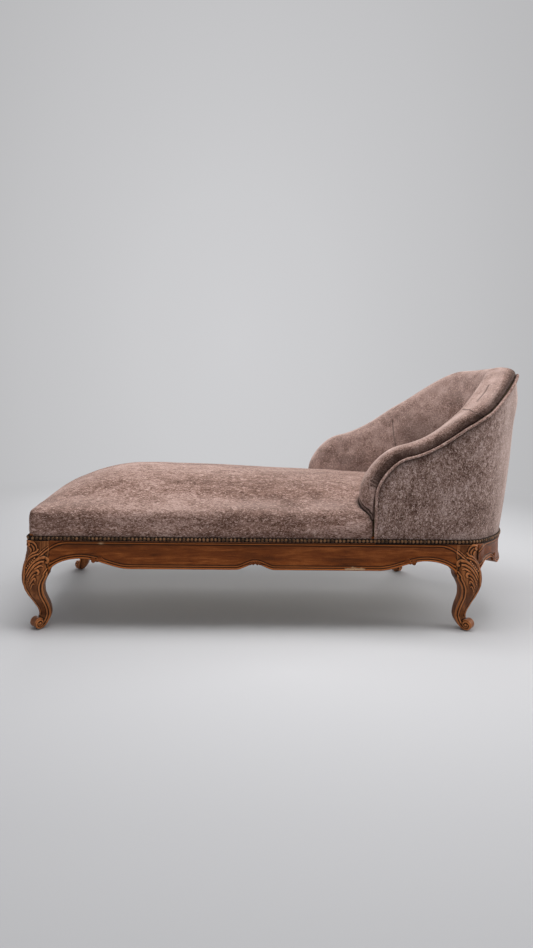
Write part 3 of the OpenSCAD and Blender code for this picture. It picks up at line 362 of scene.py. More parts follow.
def puff(ob, cap, free):
    """Swells a soft form by up to cap with a cloth simulation; free is 0 where it is held, 1 where it may move."""
    start = coords(ob.data)
    held = ob.vertex_groups.new(name="held")
    hold = np.round((1 - free(start)) * 10)
    for level in range(1, 11):
        where = np.flatnonzero(hold == level)
        if len(where):
            held.add(where.tolist(), level / 10.0, "REPLACE")
    cloth = ob.modifiers.new("cloth", "CLOTH")
    for key, value in CLOTH.items():
        setattr(cloth.settings, key, value)
    cloth.settings.effector_weights.gravity = 0
    cloth.collision_settings.use_collision = False
    cloth.collision_settings.use_self_collision = False
    cloth.point_cache.frame_start, cloth.point_cache.frame_end = 1, CLOTH_FRAMES
    for k in range(1, CLOTH_FRAMES + 1):
        SCENE.frame_set(k)
    done = ob.evaluated_get(bpy.context.evaluated_depsgraph_get())
    step = coords(done.to_mesh()) - start
    done.to_mesh_clear()
    ob.modifiers.clear()
    SCENE.frame_set(1)
    step *= np.minimum(1, cap / np.maximum(np.linalg.norm(step, axis=1, keepdims=True), 1e-6))
    set_coords(ob, start + step)


# ---------------------------------------------------------------- materials
class Nodes:
    """Adds nodes to a tree. A value is a constant or the output of another node."""

    def __init__(self, tree):
        self.tree = tree

    def feed(self, socket, value):
        if isinstance(value, bpy.types.NodeSocket):
            self.tree.links.new(value, socket)
        else:
            socket.default_value = (*value, 1) if socket.type == "RGBA" and len(value) == 3 else value

    def node(self, kind, *values, props=None, **inputs):
        """A node whose sockets are fed in order by values, and by name by inputs."""
        n = self.tree.nodes.new("ShaderNode" + kind)
        for key, value in (props or {}).items():
            setattr(n, key, value)
        for key, value in enumerate(values):
            self.feed(n.inputs[key], value)
        for key, value in inputs.items():
            self.feed(n.inputs[key.replace("_", " ")], value)
        return n

    def math(self, op, a, b=0.0, clamp=False):
        return self.node("Math", a, b, props={"operation": op, "use_clamp": clamp}).outputs[0]

    def weigh(self, *pairs):
        """Sum of values, each times its weight."""
        total = None
        for value, weight in reversed(pairs):
            part = self.math("MULTIPLY", value, weight)
            total = part if total is None else self.math("ADD", part, total)
        return total

    def vector(self, op, a, b=(0, 0, 0)):
        return self.node("VectorMath", a, b, props={"operation": op})

    def span(self, value, *ends):
        """Value brought smoothly from low, high to 0, 1 or to two further ends."""
        return self.node("MapRange", value, *ends, props={"interpolation_type": "SMOOTHSTEP"}).outputs[0]

    def ramp(self, value, *stops):
        n = self.node("ValToRGB", value)
        marks = n.color_ramp.elements
        for mark, (at, colour) in ((marks[0], stops[0]), (marks[1], stops[-1])):
            mark.position, mark.color = at, (*colour, 1)
        for at, colour in stops[1:-1]:
            marks.new(at).color = (*colour, 1)
        return n.outputs[0]

    def mix(self, factor, a, b):
        n = self.node("Mix", factor, props={"data_type": "RGBA"})
        self.feed(n.inputs[6], a)
        self.feed(n.inputs[7], b)
        return n.outputs[2]


class Finish(Nodes):
    """A node material under construction."""

    def __init__(self, name):
        self.material = bpy.data.materials.new(name)
        self.material.use_nodes = True
        super().__init__(self.material.node_tree)
        self.shader = self.tree.nodes["Principled BSDF"]
        self.place = self.node("TexCoord").outputs["Object"]

    def set(self, **values):
        for key, value in values.items():
            self.feed(self.shader.inputs[key.replace("_", " ")], value)
        return self

    def mapped(self, scale):
        return self.node("Mapping", Vector=self.place, Scale=scale).outputs[0]

    def noise(self, scale, detail=4.0, rough=0.55, vector=None, distort=0.0):
        return self.node("TexNoise", Vector=vector or self.place, Scale=scale, Detail=detail, Roughness=rough,
                         Distortion=distort).outputs[0]

    def attribute(self, name):
        return self.node("Attribute", props={"attribute_name": name}).outputs["Fac"]

    def bump(self, height, distance, strength):
        return self.set(Normal=self.node("Bump", Height=height, Distance=distance, Strength=strength).outputs[0])


def dim(colour, share):
    return tuple(share * c for c in colour)


def velvet(name, dark, mid, light, fleck, lie=(1.0, 1.0, 1.0)):
    """Mottled pile: clouds, flecks and pits, darkened by painted shade and paled by painted highlights that two
    attributes of the mesh carry.
    """
    f = Finish(name)
    place = f.mapped(lie)
    drift = f.noise(5.5, 3.0, 0.55, vector=place, distort=0.8)
    cloud = f.noise(32.0, 6.0, 0.66, vector=place, distort=0.6)
    pile = f.noise(185.0, 4.0, 0.62, vector=place, distort=1.4)
    grain = f.noise(620.0, 2.0, 0.6)
    base = f.ramp(f.weigh((drift, 0.27), (cloud, 0.28), (pile, 0.45)), (0.42, dark), (0.5, mid), (0.58, light))
    spot = f.weigh((pile, 0.6), (grain, 0.4))
    base = f.mix(f.math("MULTIPLY", f.span(spot, 0.53, 0.61), 0.72), base, fleck)
    base = f.mix(f.math("MULTIPLY", f.span(spot, 0.465, 0.39), 0.6), base, dim(dark, 0.5))
    # painted highlight: the pile paled towards its fleck colour
    base = f.mix(f.math("MULTIPLY", f.attribute("crest"), 0.68), base, fleck)
    # painted shade: the pile darkened in creases, hollows and where parts press on each other
    base = f.mix(f.attribute("painted_shade"), base, dim(dark, 0.3))
    f.bump(f.weigh((cloud, 1.0), (pile, 0.9), (grain, 0.6)), 0.0018, 0.65)
    return f.set(Base_Color=base, Roughness=f.span(grain, 0.3, 0.7, 0.75, 0.95), Sheen_Weight=0.17,
                 Sheen_Roughness=0.42, Sheen_Tint=(1.0, 0.80, 0.72), Specular_IOR_Level=0.05).material


VELVET = velvet("velvet_pile", (0.105, 0.055, 0.040), (0.232, 0.136, 0.106), (0.41, 0.275, 0.235),
                (0.60, 0.44, 0.39), lie=(0.5, 1.0, 1.15))
# a darker copy of the pile: painted shade for the inside of the tub
VELVET_BACK_SHADED = velvet("velvet_tub_shaded", (0.085, 0.045, 0.034), (0.20, 0.118, 0.094), (0.36, 0.245, 0.21),
                     (0.56, 0.41, 0.365))
VELVET_OUT = velvet("velvet_outside", (0.095, 0.053, 0.041), (0.215, 0.134, 0.108), (0.40, 0.29, 0.26),
                    (0.68, 0.53, 0.48), lie=(1.0, 1.0, 0.75))
# a paler copy of the pile: painted highlight for the piping cord
VELVET_PIPE_LIT = velvet("velvet_piping_lit", (0.13, 0.074, 0.058), (0.27, 0.168, 0.138), (0.43, 0.295, 0.255),
                     (0.64, 0.48, 0.44))


def wood(name, dark, mid, light, gloss, carved=False, along=(1, 0, 0)):
    """Figured wood, its grain drawn out along one axis; carved wood is painted dark in its grooves as painted shade,
    and pale on its edges, partly as wear and partly as a painted highlight.
    """
    f = Finish(name)
    grainy = f.mapped(tuple(2.6 if k else 24.0 for k in along))
    flow = f.noise(1.5, 4.0, 0.6, vector=grainy, distort=1.4)
    streak = f.noise(8.0, 5.0, 0.65, vector=grainy)
    blotch = f.noise(9.0, 3.0, 0.6)
    pores = f.noise(46.0, 2.0, 0.5, vector=f.mapped(tuple(6.0 if k else 60.0 for k in along)))
    tone = f.weigh((flow, 0.45), (streak, 0.33), (blotch, 0.22))
    base = f.ramp(tone, (0.34, dark), (0.5, mid), (0.66, light))
    base = f.mix(f.math("MULTIPLY", f.span(pores, 0.47, 0.36), 0.45), base, dim(dark, 0.4))
    if carved:
        # paler edges: partly wear, partly a painted highlight
        base = f.mix(f.math("MULTIPLY", f.attribute("edge"), 0.7), base, dim(light, 1.6))
        # painted shade: the grooves darkened almost to black
        base = f.mix(f.math("MULTIPLY", f.attribute("painted_groove_shade"), 1.8, clamp=True), base, dim(mid, 0.06))
        bare = f.ramp(pores, (0.4, (0.30, 0.16, 0.08)), (0.6, (0.55, 0.37, 0.22)))
        base = f.mix(f.attribute("chip"), base, bare)
    f.bump(f.weigh((pores, 0.4), (streak, 0.6)), 0.0005, 0.5)
    return f.set(Base_Color=base, Roughness=f.span(streak, 0.3, 0.7, gloss, gloss + 0.18), Specular_IOR_Level=0.30,
                 Specular_Tint=(1.0, 0.62, 0.38), Coat_Weight=0.02, Coat_Roughness=0.3).material


WALNUT = wood("walnut_carved", (0.036, 0.0078, 0.0016), (0.162, 0.038, 0.0072), (0.36, 0.108, 0.026), 0.36, True)
WALNUT_LEG = wood("walnut_leg", (0.032, 0.0080, 0.0022), (0.124, 0.0358, 0.0106), (0.44, 0.160, 0.055), 0.34, True,
                  along=(0, 0, 1))
BEECH = wood("beech_plain", (0.40, 0.27, 0.15), (0.52, 0.37, 0.22), (0.62, 0.47, 0.30), 0.55)


def weave(name, a, b, pitch, depth):
    f = Finish(name)
    warp, weft = (f.node("TexWave", Vector=f.place, Scale=1 / (3.2 * pitch), Distortion=0.4, Detail=0.0,
                         props={"bands_direction": way}).outputs[1] for way in "XY")
    over = f.math("MULTIPLY", warp, weft)
    fibre = f.noise(420.0, 3.0, 0.6)
    base = f.mix(f.span(over, 0.1, 0.6), a, b)
    base = f.mix(f.math("MULTIPLY", f.span(fibre, 0.4, 0.65), 0.35), base, dim(b, 1.15))
    f.bump(f.weigh((over, 1.0), (fibre, 0.4)), depth, 0.7)
    return f.set(Base_Color=base, Roughness=f.span(fibre, 0.3, 0.7, 0.82, 0.9)).material


JUTE = weave("jute_cloth", (0.22, 0.15, 0.085), (0.45, 0.33, 0.19), 0.004, 0.0008)
CALICO = weave("calico_cloth", (0.50, 0.45, 0.36), (0.68, 0.63, 0.53), 0.0015, 0.0003)

wire = Finish("steel_wire")
drawn, rust = wire.noise(260.0, 3.0, 0.6), wire.noise(22.0, 5.0, 0.6)
bright = wire.ramp(drawn, (0.3, (0.30, 0.31, 0.32)), (0.7, (0.48, 0.49, 0.50)))
STEEL = wire.set(Base_Color=wire.mix(wire.span(rust, 0.52, 0.7), bright, (0.16, 0.09, 0.05)), Metallic=0.9,
                 Roughness=wire.span(rust, 0.4, 0.7, 0.32, 0.6)).bump(drawn, 0.0002, 0.4).material

brass = Finish("nail_antique")
tarnish, each = brass.noise(210.0, 4.0, 0.6), brass.noise(60.0, 2.0, 0.5)
worn = brass.ramp(tarnish, (0.35, (0.022, 0.012, 0.007)), (0.55, (0.075, 0.038, 0.020)), (0.72, (0.22, 0.125, 0.070)))
# paler towards the top of the dome: partly wear, partly a painted highlight
worn = brass.mix(brass.math("MULTIPLY", brass.attribute("dome"), 0.7), worn, (0.29, 0.145, 0.068))
NAIL = brass.set(Base_Color=brass.mix(brass.span(each, 0.40, 0.64), worn, (0.022, 0.013, 0.008)), Metallic=0.15,
                 Roughness=brass.span(tarnish, 0.3, 0.7, 0.28, 0.5),
                 Specular_Tint=(1.0, 0.6, 0.36)).bump(tarnish, 0.0003, 0.5).material

trim = Finish("braid_woven")
fibre, cord = trim.noise(520.0, 3.0, 0.6), trim.noise(170.0, 2.0, 0.5)
BRAID = trim.set(Base_Color=trim.ramp(trim.weigh((fibre, 0.5), (cord, 0.5)), (0.35, (0.006, 0.0035, 0.0025)),
                                      (0.52, (0.017, 0.010, 0.007)), (0.68, (0.05, 0.029, 0.019))),
                 Roughness=trim.span(fibre, 0.3, 0.7, 0.7, 0.9),
                 Specular_IOR_Level=0.1).bump(fibre, 0.0006, 0.6).material


# ---------------------------------------------------------------- walnut rails
def bead(v, centre, half, height):
    return height * np.sqrt(np.clip(1 - ((v - centre) / half) ** 2, 0, 1))


# The moulding of the panels: its distance under the show wood's top, at p from the corner of the frame
PANEL_P = np.array([30.0, 37.0, 48.0, 56.0, 68.0, 78.0, 88.0, 98.0, 110.0, 122.0])
PANEL_W = np.array([58.0, 51.0, 41.0, 33.5, 24.0, 17.5, 12.0, 8.0, 5.2, 4.0])
RAIL_STEP, RAIL_ROWS = 1.8, 62
END_RAISE, END_REACH = 5.0, 34.0  # the bowed rail's face is fuller at its ends, over the dowels


def rail_relief(u, z, drop, slope, length):
    """How far the rail's face stands out at u along it and height z, the painted shade of its recesses, and its edges,
    paler partly from wear and partly as a painted highlight.
    """
    from_end = np.minimum(u, length - u)
    v = (z - (SHOW_TOP - drop)) / np.sqrt(1 + np.minimum(slope, 6) ** 2)
    line = (SHOW_TOP - z) - np.interp(LEG_BLOCK + from_end, PANEL_P, PANEL_W)
    line = line / np.where(from_end < 40, 1.28, 1.0)
    out = bead(v, 3.4, 3.2, 2.6) + bead(v, 10.4, 2.3, 1.6) + bead(line, 0.0, 2.4, 2.0)
    out = out - 1.0 * bell(v, 7.2, 1.0) - 0.8 * bell(v, 13.6, 1.2) - 1.0 * bell(line, 3.6, 1.2)
    out = out - 0.7 * bell(line, -3.4, 1.1) * (line > -12)
    out = out - 1.6 * smooth((line - 6) / 10.0) * smooth((v - 15) / 12.0)
    # painted shade in the grooves, and at the rail's ends where it meets the legs
    groove_shade = 0.95 * bell(v, 7.2, 1.1) + 0.75 * bell(v, 13.6, 1.4) + 0.85 * bell(line, 3.7, 1.5)
    groove_shade = groove_shade + 0.8 * bell(line, -3.4, 1.2)
    end = bell(from_end, 0.0, 1.0)
    # paler edges: partly wear, partly a painted highlight
    edge = bell(v, 3.2, 1.6) + 0.8 * bell(v, 10.4, 1.0) + 0.7 * bell(line, -0.3, 1.1)
    return out - 0.6 * end, np.clip(groove_shade + 0.8 * end, 0, 1), np.clip(edge, 0, 1)


def chips(u, z):
    """A worn stretch on the near rail's lower edge and a small one under the nails."""
    x = LEG_BLOCK + u
    ragged = 3.0 * noise1(x / 7.0, 5)
    worn = smooth((x - 990 - ragged) / 6.0) * smooth((1056 - x - ragged) / 8.0) * smooth((207 + ragged - z) / 3.0)
    worn = worn * smooth((z - 197.5) / 2.0)
    return np.clip(worn + np.exp(-((x - 229) / 7.0) ** 2 - ((z - 275) / 3.0) ** 2), 0, 1)


def on_bow(u, z, d):
    s = RAIL_HEAD_S + u
    near = s <= MID_S
    mirrored = np.where(near, s, 2 * MID_S - s)
    x, y = plan_point(mirrored)
    a = heading(mirrored)
    end = np.exp(-(np.minimum(u, 2 * HEAD_HALF - u) / END_REACH) ** 4)
    d = d - END_RAISE * end * np.clip(1 - d / RAIL_T, 0, 1)
    return np.stack([x - d * np.sin(a), np.where(near, 1, -1) * (y + d * np.cos(a)), z], -1)


SIDE_RAIL_L = HEAD_LEG_X - 2 * LEG_BLOCK
FOOT_RAIL_L = FRAME_W - 2 * LEG_BLOCK
RAIL_HEAD_S = CORNER_R * math.asin((HEAD_LEG_X - EASE_X) / CORNER_R)
HEAD_HALF = MID_S - RAIL_HEAD_S
SIDE_APRON, END_APRON = (99.0, 250.0, 62.0), (78.0, 165.0, 50.0)  # ends of the arch and the lobe, half the notch
# Every rail: where a point at u along it, height z and depth d lies, its length, its apron, its corner knots' place
RAILS = {"near": (lambda u, z, d: np.stack([LEG_BLOCK + u, -HALF_W + d, z], -1), SIDE_RAIL_L, SIDE_APRON, 143.0),
         "far": (lambda u, z, d: np.stack([LEG_BLOCK + u, HALF_W - d, z], -1), SIDE_RAIL_L, SIDE_APRON, 143.0),
         "foot": (lambda u, z, d: np.stack([d, u - FOOT_RAIL_L / 2, z], -1), FOOT_RAIL_L, END_APRON, 106.0),
         "head": (on_bow, 2 * HEAD_HALF, END_APRON, 106.0)}


def make_rail(name):
    place, length, apron, _ = RAILS[name]
    u = np.linspace(0, length, int(length / RAIL_STEP) + 1)
    drop = apron_drop(u, length / 2, *apron)
    slope = np.abs(np.gradient(drop, u))[:, None]
    drop = drop[:, None]
    t = np.linspace(0, 1, RAIL_ROWS)
    t = t - 0.1 * np.sin(2 * math.pi * t)
    u = np.repeat(u[:, None], RAIL_ROWS, 1)
    z = SHOW_TOP - drop + drop * t[None, :]
    out, groove_shade, edge = rail_relief(u, z, drop, slope, length)
    column = np.ones_like(drop)
    back = np.concatenate([STRIP_D * column, STRIP_D * column, RAIL_T * column, RAIL_T * column], 1)
    over = np.concatenate([SHOW_TOP * column, RAIL_TOP * column, RAIL_TOP * column, z[:, :1]], 1)
    rings = place(np.concatenate([u, np.repeat(u[:, :1], 4, 1)], 1), np.concatenate([z, over], 1),
                  np.concatenate([-out, back], 1))
    ob = skin(name + "_rail_carved", rings, WALNUT, weld=False)
    # painted shade in the grooves, paler edges from wear and painted highlight, and real chips
    for key, values in (("painted_groove_shade", groove_shade), ("edge", edge), ("chip", chips(u, z) if name == "near" else 0 * u)):
        attribute(ob, key, np.concatenate([values, 0 * back], 1))
    close_normals(ob, weld=False)
    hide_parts("rail_" + name)


for rail in RAILS:
    make_rail(rail)

# ---------------------------------------------------------------- cabriole legs
# Profile of a leg: share of its height, and how far its outer and inner edges lie from the frame's corner
LEG_Z = np.array([0.0, 0.03, 0.075, 0.12, 0.16, 0.21, 0.28, 0.35, 0.42, 0.49, 0.56, 0.63, 0.7, 0.77, 0.85, 0.93,
                  1.0]) * SHOW_TOP
LEG_OUT = np.array([30.0, 26.0, 26.0, 29.0, 32.5, 30.0, 21.0, 11.0, 0.5, -6.5, -11.5, -13.0, -12.0, -7.5, -3.0, 0.0,
                    0.0])
LEG_IN = np.array([43.0, 53.0, 62.5, 68.0, 70.0, 69.0, 65.0, 58.5, 53.5, 52.5, 57.0, 66.0, 68.0, 68.0, 68.0, 68.0,
                   68.0])
LEG_POWER, BLOCK_R = 3.2, 15.0
# Strokes of the carving, as p along a side face and z up it, their radius at start, middle and end, and their points
LEAVES = (
    # a curl at the top of the corner with a small ribbed leaf under it
    ([(31, 248), (32, 260), (28, 270), (20, 277), (11, 278.5), (3.5, 275), (1.5, 268), (6, 264), (10, 268)],
     1.8, 4.2, 3.4, 44),
    ([(6, 262), (13, 257), (15, 249), (11, 241)], 1.6, 3.6, 1.6, 26),
    ([(15, 270), (21, 263), (24, 255), (22, 247)], 1.6, 3.6, 1.6, 26),
    ([(2, 218), (11, 234), (21, 243), (31, 248), (37, 256)], 1.6, 4.2, 3.0, 34),
    ([(2, 208), (8, 223), (18, 233), (30, 238), (38, 240)], 1.6, 4.2, 2.8, 34),
    # a thick stem along the corner of the knee and leaf lobes that curl inwards
    ([(10, 234), (3, 222), (-4, 204), (-7, 185), (-7, 165), (-3, 147), (6, 128), (15, 108)], 2.0, 4.6, 2.8, 60),
    ([(2, 178), (11, 196), (24, 215), (40, 227), (56, 230), (66, 224), (65, 215), (59, 215)], 2.2, 5.6, 4.2, 54),
    ([(7, 173), (16, 190), (29, 207), (44, 217), (54, 218)], 2.0, 5.0, 3.0, 44),
    ([(10, 166), (20, 183), (32, 198), (45, 206), (54, 204)], 1.8, 3.8, 1.8, 40),
    ([(10, 157), (17, 175), (26, 188), (36, 193), (42, 188), (39, 181)], 1.8, 5.2, 3.6, 40),
    ([(14, 153), (21, 168), (29, 179), (36, 180)], 1.5, 3.4, 1.6, 26),
    ([(14, 144), (19, 156), (25, 166), (31, 168), (32, 161)], 1.4, 4.2, 3.0, 26),
    ([(17, 134), (21, 145), (26, 152), (29, 149)], 1.2, 2.6, 1.6, 26))
VOLUTE = np.array([29.8, 29.8, 19.6])
TOE_OUT = 14.0  # how much further out than its mirror the foot of a head leg stands


def circle(sides):
    return 2 * math.pi * np.arange(sides) / sides


def spline(x, y, at):
    """Smooth curve through given points, without overshoot (monotone cubic)."""
    h = np.diff(x)
    d = np.diff(y) / h
    m = np.zeros(len(x))
    m[0], m[-1] = d[0], d[-1]
    for k in range(1, len(x) - 1):
        if d[k - 1] * d[k] > 0:
            w1, w2 = 2 * h[k] + h[k - 1], h[k] + 2 * h[k - 1]
            m[k] = (w1 + w2) / (w1 / d[k - 1] + w2 / d[k])
    i = np.clip(np.searchsorted(x, at) - 1, 0, len(h) - 1)
    t = (at - x[i]) / h[i]
    return ((2 * t ** 3 - 3 * t ** 2 + 1) * y[i] + (t ** 3 - 2 * t ** 2 + t) * h[i] * m[i]
            + (-2 * t ** 3 + 3 * t ** 2) * y[i + 1] + (t ** 3 - t ** 2) * h[i] * m[i + 1])


def leg_section(z):
    """Middle and half width of the leg at height z."""
    z = np.asarray(z, float)
    out, inner = spline(LEG_Z, LEG_OUT, z), spline(LEG_Z, LEG_IN, z)
    return (out + inner) / 2, (inner - out) / 2


def leg_rings(rows=110, sides=64):
    z = np.linspace(0, SHOW_TOP, rows)
    c, r = leg_section(z)
    a = 2 * math.pi * (np.arange(sides) + 0.5) / sides
    stretch = (np.abs(np.cos(a)) ** LEG_POWER + np.abs(np.sin(a)) ** LEG_POWER) ** (-1 / LEG_POWER)
    x, y = (c[:, None] + r[:, None] * (stretch * turned)[None, :] for turned in (np.cos(a), np.sin(a)))
    return np.stack([x, y, np.repeat(z[:, None], sides, 1)], -1)


def face_depth(p, z):
    """Depth q of the leg's outer face at p along it and height z."""
    c, r = leg_section(np.clip(z, 0, SHOW_TOP))
    t = np.clip(np.abs((p - c) / r), 0, 0.995)
    q = c - r * (1 - t ** LEG_POWER) ** (1 / LEG_POWER)
    near = np.clip(BLOCK_R - p, 0, BLOCK_R)
    return np.where(z > 204, np.minimum(q, BLOCK_R - np.sqrt(BLOCK_R ** 2 - near ** 2)), q)


def curve(points, count=26):
    """Catmull-Rom curve through a few points."""
    p = np.asarray(points, float)
    p = np.concatenate([[2 * p[0] - p[1]], p, [2 * p[-1] - p[-2]]])
    out = []
    for t in np.linspace(0, len(p) - 3 - 1e-9, count):
        i = int(t)
        f = t - i
        a, b, c, d = p[i:i + 4]
        out.append(0.5 * ((2 * b) + (c - a) * f + (2 * a - 5 * b + 4 * c - d) * f * f
                          + (3 * b - a - 3 * c + d) * f ** 3))
    return np.array(out)


def tube_rings(path, radius, sides=12, ref=(0.577, -0.577, 0.577)):
    """Rings round a path, without twist; the first one starts square to ref."""
    tangent = np.gradient(path, axis=0)
    tangent /= np.maximum(np.linalg.norm(tangent, axis=1, keepdims=True), 1e-9)
    side = np.cross(tangent, np.array(ref))
    side /= np.maximum(np.linalg.norm(side, axis=1, keepdims=True), 1e-9)
    for k in range(1, len(side)):
        v = side[k - 1] - tangent[k] * (side[k - 1] @ tangent[k])
        side[k] = v / np.linalg.norm(v)
    other = np.cross(side, tangent)
    a = circle(sides)
    r = np.broadcast_to(np.asarray(radius, float), (len(path),))[:, None, None]
    return path[:, None] + r * (np.cos(a)[None, :, None] * side[:, None] + np.sin(a)[None, :, None] * other[:, None])


class Shell:
    """Collects closed skins, which a remesh can join to one carved form."""

    def __init__(self):
        self.points, self.faces, self.base = [], [], 0

    def add(self, rings):
        rings = np.asarray(rings, float)
        m, n = rings.shape[:2]
        flat = rings.reshape(-1, 3)
        tri = np.array([(f[0], f[k], f[k + 1]) for f in skin_faces(m, n) for k in range(1, len(f) - 1)])
        volume = np.einsum("ij,ij->i", np.cross(flat[tri[:, 0]], flat[tri[:, 1]]), flat[tri[:, 2]]).sum()
        faces = skin_faces(m, n, self.base)
        self.faces += flip(faces) if volume < 0 else faces
        self.points.append(flat)
        self.base += m * n

    def ball(self, centre, radius):
        self.add([[(centre[0] + radius * math.cos(k) * math.cos(t), centre[1] + radius * math.sin(k) * math.cos(t),
                    centre[2] + radius * math.sin(t)) for k in circle(16)] for t in np.linspace(-1.5, 1.5, 11)])

    def stroke(self, points, r0, r1, r2, count=26):
        """Tapered tube along p, z points of the side face, sunk a little, and its twin on the end face."""
        path = curve(points, count)
        t = np.linspace(0, 1, count)
        radius = np.where(t < 0.5, r0 + (r1 - r0) * smooth(t * 2), r1 + (r2 - r1) * smooth(t * 2 - 1))
        line = np.column_stack([path[:, 0], face_depth(path[:, 0], path[:, 1]) + radius * 0.25, path[:, 1]])
        for face in (line, line[:, [1, 0, 2]]):
            self.add(tube_rings(face, radius, 10))


def carved_leg_shell():
    shell = Shell()
    shell.add(leg_rings())
    a = math.pi + math.pi / 2 * np.arange(9) / 8
    for inset, r, z0, z1 in ((0.0, BLOCK_R, 0.72 * SHOW_TOP, SHOW_TOP),
                             (STRIP_D, FOOT_CORNER_R - STRIP_D, SHOW_TOP - 4, RAIL_TOP)):
        plan = [(inset + r + r * math.cos(b), inset + r + r * math.sin(b)) for b in a]
        plan += [(LEG_BLOCK, inset), (LEG_BLOCK, LEG_BLOCK), (inset, LEG_BLOCK)]
        shell.add([[(x, y, z) for x, y in plan] for z in (z0, z1)])
    # inner edge: the rail's two beads run on down the leg to the foot
    for off, radius in ((3.6, 4.2), (11.0, 2.7)):
        z = np.linspace(184, 5, 24)
        c, r = leg_section(z)
        p = c + r - off
        shell.stroke(np.concatenate([[[p[0] + 11, 203.0 - 0.2 * off]], np.column_stack([p, z])]), radius, radius,
                     radius, 70)
    # outer edge: a plain ridge from the knee to the scroll
    z = np.linspace(172, 40, 16)
    c, r = leg_section(z)
    shell.stroke(np.column_stack([c - r + np.linspace(11.0, 6.0, 16), z]), 1.8, 2.6, 2.4, 60)
    for leaf in LEAVES:
        shell.stroke(*leaf)
    # six small pearls between the crest and the stem, on both outer faces
    for k in range(6):
        t = k / 5
        p, z = 27 - 23 * t ** 1.2, 228 - 28 * t
        q = float(face_depth(p, z)) + 0.3
        for centre in ((p, q, z), (q, p, z)):
            shell.ball(centre, 3.3 * (1 - 0.35 * abs(t - 0.3)))
    # panel moulding that sweeps off the rail and down to the first lobe
    for lift, radius in ((0.0, 3.0), (9.5, 1.7)):
        p = np.linspace(70 - 0.4 * lift, 36, 6)
        shell.stroke(np.column_stack([p, SHOW_TOP - np.interp(p, PANEL_P, PANEL_W) + lift]), radius, radius,
                     radius * 0.8)
    # volute foot: its axis is level and square to the leg's diagonal
    d, w = np.array([1, 1, 0]) / math.sqrt(2), np.array([1, -1, 0]) / math.sqrt(2)
    up = np.array([0, 0, 1.0])
    half = SCROLL_W / 2 - 4.5
    shell.add([[VOLUTE + w * off + rr * (math.cos(k) * d + math.sin(k) * up) for k in circle(48)] for off, rr in (
        (-half, 16.2 * 0.86), (-half + 1.4, 16.2 * 0.97), (-half + 3.2, 16.2), (half - 3.2, 16.2),
        (half - 1.4, 16.2 * 0.97), (half, 16.2 * 0.86))])
    turn = np.linspace(0, 1, 110)
    angle = math.pi * 0.12 - turn * 2 * math.pi * 1.62
    radius = 15.8 - 10.2 * turn ** 0.85
    lift = half - 1.0 + 2.6 * turn
    for face in (-1, 1):
        path = (VOLUTE + face * lift[:, None] * w
                + radius[:, None] * (np.cos(angle)[:, None] * d + np.sin(angle)[:, None] * up))
        shell.add(tube_rings(path, 3.7 - 1.5 * turn))
        shell.ball(VOLUTE + face * w * (half + 0.6), 4.4)
    shell.add([[(33 + 8 * math.cos(b), 33 + 8 * math.sin(b), z) for b in circle(20)] for z in (0.0, 8.0)])
    return shell


def concavity(me, rounds, reach):
    """How deep each point lies in a recess, -1 to 1, from a smoothed copy of the mesh."""
    p = coords(me)
    count = len(p)
    a, b = read(me.edges, "vertices", 2, np.int32).T
    degree = np.maximum(np.bincount(a, minlength=count) + np.bincount(b, minlength=count), 1)
    q = p.copy()
    for _ in range(rounds):
        total = np.stack([np.bincount(a, q[b, k], count) + np.bincount(b, q[a, k], count) for k in range(3)], -1)
        q = 0.4 * q + 0.6 * total / degree[:, None]
    return np.clip(((q - p) * normals(me)).sum(1) / reach, -1, 1)


def carved(shell, voxel):
    """Joins a shell by a fine remesh; gives its points, faces, the painted shade of its recesses, and its edges, paler
    partly from wear and partly as a painted highlight.
    """
    me = bpy.data.meshes.new("master")
    me.from_pydata((np.concatenate(shell.points) / 1000.0).tolist(), [], shell.faces)
    me.update()
    ob = add_object("master", me)
    remesh(ob, voxel)
    modify(ob, "SMOOTH", factor=0.3, iterations=1)
    fine, wide = concavity(ob.data, 6, 0.30), concavity(ob.data, 40, 1.5)
    # painted shade: how dark each recess is painted
    groove_shade = np.clip(np.clip(fine - 0.08, 0, 1) * 0.85 + np.clip(wide - 0.05, 0, 1) * 0.45, 0, 1)
    quads = read(ob.data.loops, "vertex_index", 1, np.int32).reshape(-1, 4)
    local = local_mm(ob.data)
    bpy.data.objects.remove(ob)
    return local, quads, groove_shade, np.clip(-fine, 0, 1) * 0.8


def make_legs():
    local, quads, groove_shade, edge = carved(carved_leg_shell(), 1.2)
    local[:, 2] = np.maximum(local[:, 2], 0.0)
    x, y, z = local.T
    outer = np.clip((70 - x) / 83, 0, 1) * np.clip((z - 60) / 60, 0, 1)
    toe = TOE_OUT * smooth(np.clip((170 - z) / 120, 0, 1)) * (1 - outer)
    for end, along in (("foot", x), ("head", HEAD_LEG_X - x + toe)):
        for side, name in ((1, "near"), (-1, "far")):
            tag = end + "_" + name
            ob = new_piece("carved_leg_" + tag, np.stack([along, side * (y - HALF_W), z], -1),
                           quads[:, ::-1] if (end == "head") == (side == 1) else quads, WALNUT_LEG)
            # painted shade in the recesses; paler edges, partly wear and partly a painted highlight
            attribute(ob, "painted_groove_shade", groove_shade)
            attribute(ob, "edge", edge)
            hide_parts("leg_" + tag)


make_legs()


def scroll(k, x, z, r, start, turns, out, radius, thinner):
    """Spiral of a knot, in x along the rail, y out of it and z up."""
    turn = np.linspace(0, 1, 40)
    angle, r = start + turn * 2 * math.pi * turns, r[0] * (1 - turn) + r[1]
    return tube_rings(np.column_stack([k * (x - r * np.cos(angle)), 1.6 + out * turn, z + r * np.sin(angle)]),
                      radius - thinner * turn, 10)


